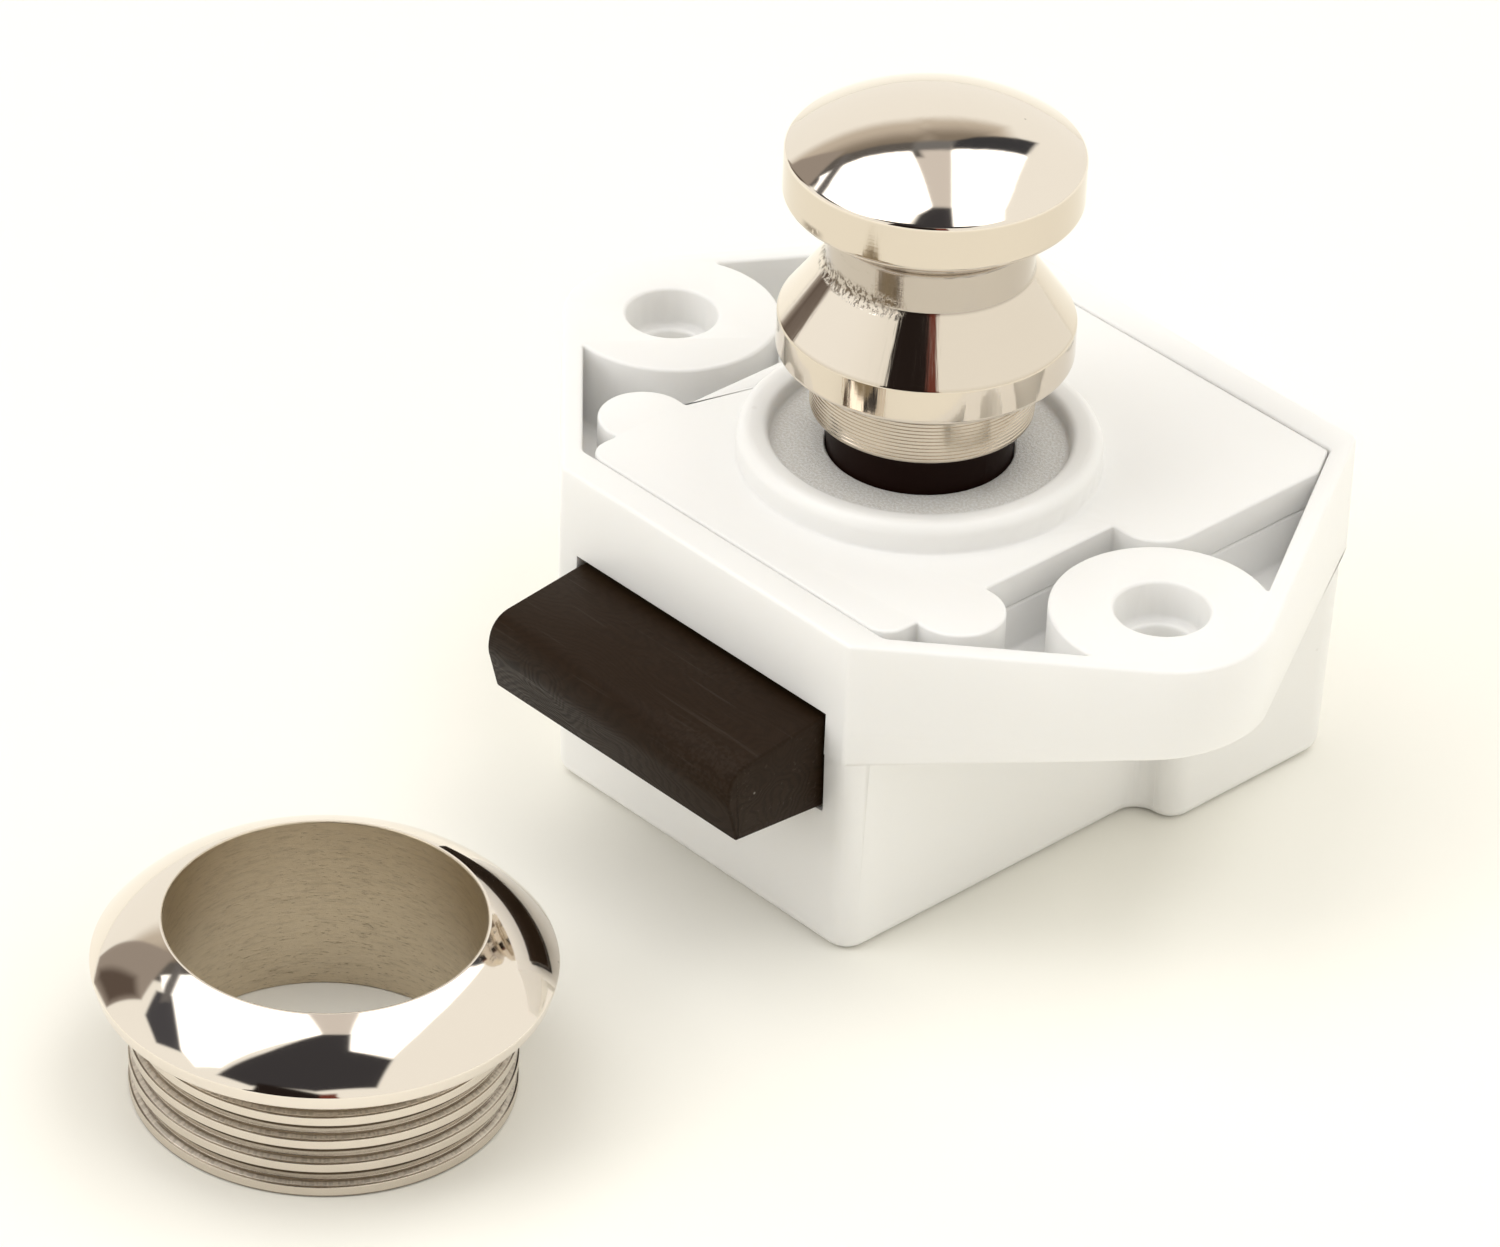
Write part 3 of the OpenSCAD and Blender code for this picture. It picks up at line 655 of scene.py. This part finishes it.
def apply_modifiers(piece):
    """Replaces a piece's mesh by what its modifiers make of it."""
    for face in piece.data.polygons:
        face.use_smooth = True
    graph = bpy.context.evaluated_depsgraph_get()
    made = bpy.data.meshes.new_from_object(piece.evaluated_get(graph), depsgraph=graph)
    made.name = piece.name
    piece.modifiers.clear()
    piece.data = made
    return piece


def fillet(points, radii, steps=6):
    """Outline with an arc at each point that has a radius, and a support point past each arc."""
    made = []
    count = len(points)
    for i, (point, radius) in enumerate(zip(points, radii)):
        b = Vector(point)
        if radius == 0:
            made.append(tuple(b))
            continue
        u = (Vector(points[i - 1]) - b).normalized()
        v = (Vector(points[(i + 1) % count]) - b).normalized()
        half = u.angle(v) / 2
        reach = radius / math.tan(half)
        centre = b + (u + v).normalized() * radius / math.sin(half)
        start = b + u * reach - centre
        turn = math.pi - 2 * half
        if start.x * (b - centre).y - start.y * (b - centre).x < 0:
            turn = -turn
        guard = min(0.03, reach * 0.2)
        made.append(tuple(b + u * (reach + guard)))
        for k in range(steps + 1):
            t = turn * k / steps
            spun = (
                centre.x + math.cos(t) * start.x - math.sin(t) * start.y,
                centre.y + math.sin(t) * start.x + math.cos(t) * start.y,
            )
            made.append(spun)
        made.append(tuple(b + v * (reach + guard)))
    return made


def turned(name, outline, centre, steps, sharp=32.0):
    """Turned piece: the closed outline of [radius, height] in mm, spun about an upright axis."""
    work = bmesh.new()
    rings = []
    for radius, height in outline:
        if radius < 1e-6:
            tip = work.verts.new(mm(centre[0], centre[1], height))
            rings.append([tip] * steps)
            continue
        rings.append(
            [
                work.verts.new(
                    mm(
                        centre[0] + radius * math.cos(2 * math.pi * k / steps),
                        centre[1] + radius * math.sin(2 * math.pi * k / steps),
                        height,
                    )
                )
                for k in range(steps)
            ]
        )
    count = len(rings)
    for i in range(count):
        low, high = rings[i], rings[(i + 1) % count]
        for k in range(steps):
            n = (k + 1) % steps
            corners = []
            for vertex in (low[k], low[n], high[n], high[k]):
                if vertex not in corners:
                    corners.append(vertex)
            if len(corners) > 2:
                work.faces.new(corners)
    bmesh.ops.recalc_face_normals(work, faces=work.faces)
    for face in work.faces:
        face.smooth = True
    for edge in work.edges:
        if len(edge.link_faces) == 2 and edge.calc_face_angle() > math.radians(sharp):
            edge.smooth = False
    mesh = bpy.data.meshes.new(name)
    work.to_mesh(mesh)
    work.free()
    return new_object(name, mesh)


def swept_wire(name, points, radius, sides=12):
    """Closed round tube along a list of points, in metres."""
    work = bmesh.new()
    rings = []
    side_way = Vector((0, 0, 1))
    for i, point in enumerate(points):
        ahead = (points[min(i + 1, len(points) - 1)] - points[max(i - 1, 0)]).normalized()
        across = ahead.cross(side_way).normalized()
        up = across.cross(ahead)
        rings.append(
            [
                work.verts.new(
                    point
                    + across * radius * math.cos(2 * math.pi * k / sides)
                    + up * radius * math.sin(2 * math.pi * k / sides)
                )
                for k in range(sides)
            ]
        )
    for low, high in zip(rings, rings[1:]):
        for k in range(sides):
            n = (k + 1) % sides
            work.faces.new((low[k], low[n], high[n], high[k])).smooth = True
    work.faces.new(rings[0])
    work.faces.new(rings[-1])
    bmesh.ops.recalc_face_normals(work, faces=work.faces)
    mesh = bpy.data.meshes.new(name)
    work.to_mesh(mesh)
    work.free()
    return new_object(name, mesh)


# ---------------------------------------------------------------- pieces


def colours():
    return bpy.context.scene.lock_colours


def sizes():
    return bpy.context.scene.lock_sizes


class LOCK_OT_housing(bpy.types.Operator):
    """White moulded housing with rounded edges"""

    bl_idname = "lock.housing"
    bl_label = "Housing"

    def execute(self, context):
        # Edges closer together than their rounding is wide stay sharp: round the window, at
        # the foot of the step in the body, and at both ends of the ears' narrow undersides
        crisp = (
            ((-12.6, -15.7, 12.6), (12.6, -13.0, 14.9)),
            ((-9.8, -15.7, 7.8), (9.8, -13.3, 14.9)),
            *both_sides((9.9, 3.5, -0.1), (13.2, 8.0, 1.3)),
            *both_sides((9.5, -15.6, 12.0), (11.9, -14.2, 12.3)),
            *both_sides((10.9, 18.0, 12.0), (14.3, 19.3, 12.7)),
            *both_sides((12.3, 16.9, 16.9), (13.5, 17.7, 17.9)),
        )
        piece = rounded_copy("housing_shell", "housing", sizes().housing_edge, crisp)
        finish = white_plastic("white housing plastic", tuple(colours().white))
        finish_piece(piece, "housing", "housing_plastic", finish, "housing")
        return {"FINISHED"}


class LOCK_OT_cover(bpy.types.Operator):
    """White cover plate with its collar, grained inside, with painted glints and painted shade on
    the grain
    """

    bl_idname = "lock.cover"
    bl_label = "Cover plate"

    def execute(self, context):
        piece = rounded_copy("cover_with_collar", "cover_plate", sizes().cover_edge)
        finish = white_plastic("white cover plastic", tuple(colours().white), grain=True)
        finish_piece(piece, "housing", "cover_plastic", finish, "cover_plate")
        return {"FINISHED"}


class LOCK_OT_bolt(bpy.types.Operator):
    """Dark latch bolt with its blunt nose"""

    bl_idname = "lock.bolt"
    bl_label = "Latch bolt"

    def execute(self, context):
        # The cheeks and slots inside the lock keep their sharp edges
        inside = ((-13.0, -9.5, 1.9), (13.0, 11.0, 16.3))
        piece = rounded_copy("bolt_block", "latch_bolt", sizes().bolt_edge, [inside])
        finish = bolt_plastic("dark bolt plastic", tuple(colours().dark))
        finish_piece(piece, "latch_bolt", "dark_plastic", finish, "latch_bolt")
        return {"FINISHED"}


class LOCK_OT_plunger(bpy.types.Operator):
    """Dark plunger with the stud that holds the knob"""

    bl_idname = "lock.plunger"
    bl_label = "Plunger and stud"

    def execute(self, context):
        dress_node("plunger", stem_plastic("dark plunger plastic", tuple(colours().stem)))
        dress_node("knob_stud", plain_steel("stud steel", tuple(colours().steel)))
        return {"FINISHED"}


# The end coils lie closed up: this many coils take only this share of the spring's rise
CLOSED_COILS = 0.9
CLOSED_SHARE = 0.06
STEPS_PER_COIL = 40


def spring_path():
    """Middle line of the spring's wire, from its foot to its head."""
    coil_r = SPRING_R - SPRING_WIRE_R
    steps = STEPS_PER_COIL * SPRING_COILS
    low = SPRING_FOOT + SPRING_WIRE_R
    rise = SPRING_HEAD - SPRING_FOOT - 2 * SPRING_WIRE_R
    closed = CLOSED_COILS / SPRING_COILS
    points = []
    for i in range(steps + 1):
        t = i / steps
        angle = 2 * math.pi * SPRING_COILS * t
        live = min(max((t - closed * 0.5) / (1 - closed), 0.0), 1.0)
        height = low + rise * (CLOSED_SHARE * t + (1 - CLOSED_SHARE) * live)
        points.append(mm(coil_r * math.cos(angle), coil_r * math.sin(angle), height))
    return points


class LOCK_OT_catch(bpy.types.Operator):
    """Plunger spring and follower wire"""

    bl_idname = "lock.catch"
    bl_label = "Spring and wire"

    def execute(self, context):
        spring = swept_wire("coil_spring", spring_path(), SPRING_WIRE_R * MM)
        steel = plain_steel("spring steel", tuple(colours().steel))
        spring.data.materials.append(steel)
        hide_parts("plunger_spring")
        mm(0, 0, SPRING_FOOT)
        mm(0, 0, SPRING_HEAD)
        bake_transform(spring)
        dress_node("follower_wire", plain_steel("wire steel", tuple(colours().steel)))
        return {"FINISHED"}


# One groove of the knob's base: share of the pitch, and 1 where it is at full depth
BASE_GROOVE = ((0.0, 0), (0.45, 0), (0.62, 1), (0.85, 1))
ARC_STEPS = 24


def base_outline():
    """Fine turned grooves round the base of the knob, from the bottom up, in mm."""
    count = sizes().base_grooves
    depth = sizes().base_groove_depth / MM
    low, high = KNOB_GROOVES
    pitch = (high - low) / count
    return [
        (BASE_R - depth * deep, low + i * pitch + pitch * share)
        for i in range(count)
        for share, deep in BASE_GROOVE
    ]


def crown_outline():
    """Domed top of the knob, from its edge in to its tip, in mm."""
    rise = CROWN_TOP - CROWN_LOW
    crown_r = (CAP_R**2 + rise**2) / (2 * rise)
    reach = math.asin(CAP_R / crown_r)
    crown = []
    for i in range(2, ARC_STEPS + 1):
        a = reach * (1 - i / ARC_STEPS)
        crown.append((crown_r * math.sin(a), CROWN_TOP - crown_r * (1 - math.cos(a))))
    crown[-1] = (0.0, CROWN_TOP)
    return crown


# Outline of the knob under its crown, from the foot up: radius, height, and fillet radius
KNOB_OUTLINE = (
    (STUD_R, KNOB_FOOT, 0),
    (BASE_R, KNOB_FOOT, 0.12),
    (BASE_R, FLANGE_LOW, 0.25),
    (CAP_R, FLANGE_LOW, 0.3),
    (CAP_R, FLANGE_TOP, 0.25),
    (WAIST_R, WAIST_LOW, 0.35),
    (WAIST_R, WAIST_TOP, 0.5),
    (CAP_R, CAP_LOW, 0.35),
    (CAP_R, CROWN_LOW, 0.3),
)


class LOCK_OT_knob(bpy.types.Operator):
    """Turned and polished knob"""

    bl_idname = "lock.knob"
    bl_label = "Knob"

    def execute(self, context):
        crown = crown_outline()
        soft = fillet(
            [point[:2] for point in KNOB_OUTLINE] + crown[:1],
            [point[2] for point in KNOB_OUTLINE] + [0],
        )
        # The grooves go between the rounded foot and the rounding under the flange
        foot = [p for p in soft if p[1] < KNOB_GROOVES[0]]
        rest = [p for p in soft if p[1] > KNOB_GROOVES[0]]
        hole = [(0.0, STUD_TOP), (STUD_R, STUD_TOP)]
        outline = foot + base_outline() + rest + crown[1:] + hole
        piece = turned("turned_knob", outline, (0.0, 0.0), sizes().turned_steps)
        finish = polished_nickel(
            "polished knob nickel", tuple(colours().nickel), (0.0, 0.0), knob_marks
        )
        finish_piece(piece, "button", "nickel", finish, "knob")
        return {"FINISHED"}


# One groove of the ring's sleeve, from its lower lip up, with a fine ridge on its floor:
# depth, height over the lip, and fillet radius
SLEEVE_GROOVE = (
    (0.0, 0.0, 0.06),
    (0.45, 0.225, 0.05),
    (0.45, 0.5, 0),
    (0.36, 0.56, 0),
    (0.45, 0.62, 0),
    (0.45, 0.85, 0.05),
    (0.0, 0.95, 0.06),
)
# The ring's dome is one arc, as steep as this at the rim and at the bore, in degrees
DOME_STEEP = 52.5
DOME_FLAT = 20.0
BORE_LIP = 0.18


def ring_outline():
    """Corners of the ring, from the foot of its bore round to the top of it, with their fillets."""
    corners_of_ring = [(BORE_R, 0.0, 0.1), (SLEEVE_R, 0.0, 0.12)]
    for i in range(GROOVE_COUNT):
        z = GROOVE_FIRST + GROOVE_PITCH * i
        corners_of_ring += [(SLEEVE_R - deep, z + up, soft) for deep, up, soft in SLEEVE_GROOVE]
    corners_of_ring += [
        (SLEEVE_R, SLEEVE_TOP, 0.2),
        (RIM_R - 0.2, SLEEVE_TOP + 0.15, 0.25),
        (RIM_R, RIM_HEIGHT, 0.2),
    ]
    steep, flat = math.radians(DOME_STEEP), math.radians(DOME_FLAT)
    wide, high = RIM_R - (BORE_R + BORE_LIP), RING_TOP - RIM_HEIGHT
    dome_r = math.hypot(wide, high) / (2 * math.sin((steep - flat) / 2))
    for i in range(1, ARC_STEPS):
        a = steep - (steep - flat) * i / ARC_STEPS
        radius = RIM_R - dome_r * (math.sin(steep) - math.sin(a))
        height = RIM_HEIGHT + dome_r * (math.cos(a) - math.cos(steep))
        corners_of_ring.append((radius, height, 0))
    return corners_of_ring + [(BORE_R + BORE_LIP, RING_TOP, 0.08), (BORE_R, RING_TOP, 0.08)]


class LOCK_OT_ring(bpy.types.Operator):
    """Loose trim ring with a domed rim and a grooved sleeve"""

    bl_idname = "lock.ring"
    bl_label = "Trim ring"

    def execute(self, context):
        sharp = ring_outline()
        outline = fillet([c[:2] for c in sharp], [c[2] for c in sharp], 8)
        piece = turned("domed_ring", outline, RING_PLACE, sizes().turned_steps)
        finish = polished_nickel(
            "polished ring nickel", tuple(colours().nickel), RING_PLACE, ring_marks
        )
        finish_piece(piece, "trim_ring", "nickel", finish, "trim_ring")
        return {"FINISHED"}


# ---------------------------------------------------------------- stage

PHOTO_FOCAL = 8274.0
PHOTO_WIDTH = 1500.0
SENSOR_MM = 36.0
CAMERA_AZIMUTH = 45.809
CAMERA_ELEVATION = 33.691
CAMERA_ROLL = 2.544
CAMERA_TARGET = (-3.998, -7.999, 10.0)
CAMERA_DISTANCE = 440.283


def place_camera():
    """Camera at the photograph's angle, as fitted to its circles and edges."""
    az, el, roll = (math.radians(a) for a in (CAMERA_AZIMUTH, CAMERA_ELEVATION, CAMERA_ROLL))
    forward = Vector((-math.sin(az) * math.cos(el), math.cos(az) * math.cos(el), -math.sin(el)))
    right = Vector((math.cos(az), math.sin(az), 0.0))
    up = right.cross(forward)
    turned_right = right * math.cos(roll) + up * math.sin(roll)
    turned_up = up * math.cos(roll) - right * math.sin(roll)
    spot = mm(*CAMERA_TARGET) - forward * CAMERA_DISTANCE * MM
    basis = Matrix((turned_right, turned_up, -forward)).transposed().to_4x4()
    data = bpy.data.cameras.new("photo camera")
    data.sensor_width = SENSOR_MM
    data.lens = PHOTO_FOCAL * SENSOR_MM / PHOTO_WIDTH
    data.clip_start = 0.01
    data.clip_end = 20.0
    camera = bpy.data.objects.new("photo camera", data)
    camera.matrix_world = Matrix.Translation(spot) @ basis
    bpy.context.scene.collection.objects.link(camera)
    bpy.context.scene.camera = camera


# In metres; the floor lies a hair under the back, so that their faces don't meet
FLOOR_HALF = 2.5
FLOOR_DROP = 0.00002


def lay_floor(colour):
    """Pale table top that runs far past the view."""
    half = FLOOR_HALF
    mesh = bpy.data.meshes.new("table_top")
    mesh.from_pydata(
        [(-half, -half, 0), (half, -half, 0), (half, half, 0), (-half, half, 0)],
        [],
        [(0, 1, 2, 3)],
    )
    floor = new_object("table_top", mesh)
    floor.location.z = -FLOOR_DROP
    floor.data.materials.append(table_top("pale table", colour))


# The sky over the lock, as a flat map in degrees from the zenith: +X to the right, -Y
# downwards. Each patch has its corners in order, the softness of its edge in degrees, and
# its colour; a patch covers those before it.
SKY_BASE = (1.03, 1.0, 0.92)
SOFTBOX_TINT = (1.0, 0.985, 0.955)
SKY_PATCHES = (
    # Hazy wall past the far edges of the softboxes, darker towards them
    (((-69, -3), (-55, -15.5), (-36.3, -33.2), (-22, -20), (-50, 8)), 4.0, (0.62, 0.545, 0.45)),
    (((-38, -31.5), (-24.3, -52.8), (-12, -48), (-14, -28), (-26, -20)), 4.0, (0.62, 0.545, 0.45)),
    (((-62, 4), (-29.5, -26), (-20, -16), (-50, 10)), 5.0, (0.27, 0.225, 0.175)),
    (((-31, -27), (-21, -44), (-13, -38), (-22, -18)), 5.0, (0.27, 0.225, 0.175)),
    # Gap between the softboxes, and the bar that carries the left one
    (((-26.5, -13.5), (-16.4, -25.4), (7.6, -3.6), (2, 3.2)), 0.6, (0.74, 0.68, 0.62)),
    (((-57.5, 7), (-28.6, -18.9), (-20, -14), (-40, 10), (-51, 13)), 1.2, (0.13, 0.12, 0.11)),
    # Left and right softbox, drawn at full strength
    (
        ((-48.8, 8.7), (-37.7, -3.6), (-25.4, -14), (2.1, 2.5), (-1, 22), (-6, 47))
        + ((-16, 53.5), (-30, 44), (-45.5, 17)),
        0.7,
        "box",
    ),
    (
        ((-17, -24.4), (-8.5, -51), (9.5, -32), (21, -18.5), (31, -4.5), (17, 5), (7.1, -3.3)),
        0.7,
        "box",
    ),
    # Bar behind the right one, and its grey end between the two
    (
        ((-21, -28), (-19.5, -39.7), (-16.2, -59.5), (-7.4, -49.6), (-13.3, -32.3), (-17.5, -25.5)),
        0.9,
        (0.05, 0.05, 0.055),
    ),
    (((-28.6, -18.9), (-20.4, -29.6), (-17, -24.4), (-25.4, -14)), 1.5, (0.20, 0.195, 0.19)),
    # Dim cupboard at the left, and a stand in front of it
    (
        ((-89, 1), (-80.6, -0.5), (-47.5, -5.5), (-53.5, 26), (-75, 31.5), (-89, 14)),
        0.9,
        (0.36, 0.31, 0.265),
    ),
    (((-60, 15), (-56, 25), (-74, 29.5), (-86, 14), (-86, 9)), 3.0, (0.12, 0.09, 0.072)),
    (((-41, 17), (-25.5, 48), (-39, 48), (-49, 34), (-48, 18)), 1.0, (0.075, 0.073, 0.08)),
    (((-41, 21), (-43.5, -3), (-46, -4), (-46, 12), (-44.5, 24)), 1.0, (0.16, 0.15, 0.145)),
    # Dark behind the camera, with an upright in it, and a reddish strip beside it
    (
        ((-4.9, 52.5), (1.5, 24), (17.1, 4.5), (32.3, -3.7), (46.5, 10.8), (33, 33), (10.7, 49.7)),
        1.0,
        (0.05, 0.047, 0.05),
    ),
    (((1, 32), (2.1, 2.5), (7.1, -3.3), (18.5, 5), (24, 14)), 0.8, (0.05, 0.047, 0.05)),
    (((12, 46), (36.5, 32.5), (91, 78), (27, 117)), 1.0, (0.02, 0.014, 0.012)),
    (((36, 33), (40, 27), (80, 53), (71, 65)), 1.0, (0.17, 0.045, 0.03)),
)


def paint_sky(box_strength, wall_strength):
    """World light: the patches of the sky map over the pale walls."""
    world = bpy.data.worlds.new("studio")
    bpy.context.scene.world = world
    world.use_nodes = True
    tree = world.node_tree
    tree.nodes.clear()
    way = make_node(tree, "ShaderNodeTexCoord", output="Generated")
    parts = make_node(tree, "ShaderNodeSeparateXYZ", None, way, output=None)
    x, y, z = (Socket(tree, o) for o in parts.outputs)
    level = (x * x + y * y + 1e-12).power(0.5)
    from_top = z.arccosine() * (180.0 / math.pi) / level
    across = x * from_top
    down = y * from_top * -1.0
    colour = tuple(c * wall_strength for c in SKY_BASE)
    for corners_of_patch, soft, tint in SKY_PATCHES:
        if tint == "box":
            tint = tuple(box_strength * c for c in SOFTBOX_TINT)
        shade = patch_mask(corners_of_patch, across, down).ramp(-soft, soft)
        colour = mix_colours(tree, shade, colour, tint)
    shader = make_node(tree, "ShaderNodeBackground", None, Color=colour, Strength=1.0)
    make_node(tree, "ShaderNodeOutputWorld", None, Surface=shader, output=None)


def patch_mask(points, across, down):
    """Distance inwards from the nearest edge of a patch of the sky map, in degrees."""
    count = len(points)
    turn = sum(
        points[i - 1][0] * points[i][1] - points[i][0] * points[i - 1][1] for i in range(count)
    )
    way = 1.0 if turn > 0 else -1.0
    inside = None
    for i in range(count):
        (ax, ay), (bx, by) = points[i - 1], points[i]
        length = math.hypot(bx - ax, by - ay)
        ex, ey = way * (bx - ax) / length, way * (by - ay) / length
        edge = down * ex - across * ey + (ax * ey - ay * ex)
        inside = edge if inside is None else inside.smallest(edge)
    return inside


def hang_lamp(name, azimuth, elevation, distance, size, power):
    """Soft lamp that the polished metal doesn't mirror; azimuth 0 is -Y and 90 is +X."""
    data = bpy.data.lights.new(name, "AREA")
    data.shape = "DISK"
    data.size = size
    data.energy = power
    lamp = bpy.data.objects.new(name, data)
    az, el = math.radians(azimuth), math.radians(elevation)
    way = Vector((math.sin(az) * math.cos(el), -math.cos(az) * math.cos(el), math.sin(el)))
    lamp.location = way * distance
    lamp.rotation_euler = way.to_track_quat("Z", "Y").to_euler()
    lamp.visible_glossy = False
    bpy.context.scene.collection.objects.link(lamp)


# Name, azimuth and elevation in degrees, distance and size in metres, and power setting
LAMPS = (
    ("side lamp", 75.0, 40.0, 1.2, 0.8, "side_lamp"),
    ("front lamp", -30.0, 28.0, 1.2, 0.8, "front_lamp"),
    ("top lamp", 48.0, 66.0, 1.2, 0.9, "top_lamp"),
)


class LOCK_OT_stage(bpy.types.Operator):
    """Camera, floor and studio light"""

    bl_idname = "lock.stage"
    bl_label = "Stage"

    def execute(self, context):
        settings = context.scene.lock_studio
        place_camera()
        lay_floor(tuple(settings.floor_colour))
        paint_sky(settings.box_strength, settings.wall_strength)
        for *place, setting in LAMPS:
            hang_lamp(*place, getattr(settings, setting))
        context.scene.view_settings.view_transform = "Standard"
        return {"FINISHED"}


# ---------------------------------------------------------------- panel

OPERATORS = (
    LOCK_OT_stage,
    LOCK_OT_housing,
    LOCK_OT_cover,
    LOCK_OT_bolt,
    LOCK_OT_plunger,
    LOCK_OT_catch,
    LOCK_OT_knob,
    LOCK_OT_ring,
)


class LOCK_PT_panel(bpy.types.Panel):
    """Pieces and settings of the lock"""

    bl_label = "Push button lock"
    bl_idname = "LOCK_PT_panel"
    bl_space_type = "VIEW_3D"
    bl_region_type = "UI"
    bl_category = "Lock"

    def draw(self, context):
        layout = self.layout
        for group_name, group in GROUPS.items():
            box = layout.box()
            for name in group.__annotations__:
                box.prop(getattr(context.scene, group_name), name)
        for operator in OPERATORS:
            layout.operator(operator.bl_idname)


CLASSES = (LockSizes, LockColours, LockStudio) + OPERATORS + (LOCK_PT_panel,)
GROUPS = {"lock_sizes": LockSizes, "lock_colours": LockColours, "lock_studio": LockStudio}


def register():
    for cls in CLASSES:
        bpy.utils.register_class(cls)
    for name, group in GROUPS.items():
        setattr(bpy.types.Scene, name, bpy.props.PointerProperty(type=group))


def unregister():
    for name in GROUPS:
        delattr(bpy.types.Scene, name)
    for cls in reversed(CLASSES):
        bpy.utils.unregister_class(cls)


def corners(box):
    """A pair of corners as plain lists of numbers."""
    return [[float(v) for v in corner] for corner in box]


def main():
    register()
    for operator in OPERATORS:
        group, name = operator.bl_idname.split(".")
        getattr(getattr(bpy.ops, group), name)()


if __name__ == "__main__":
    main()
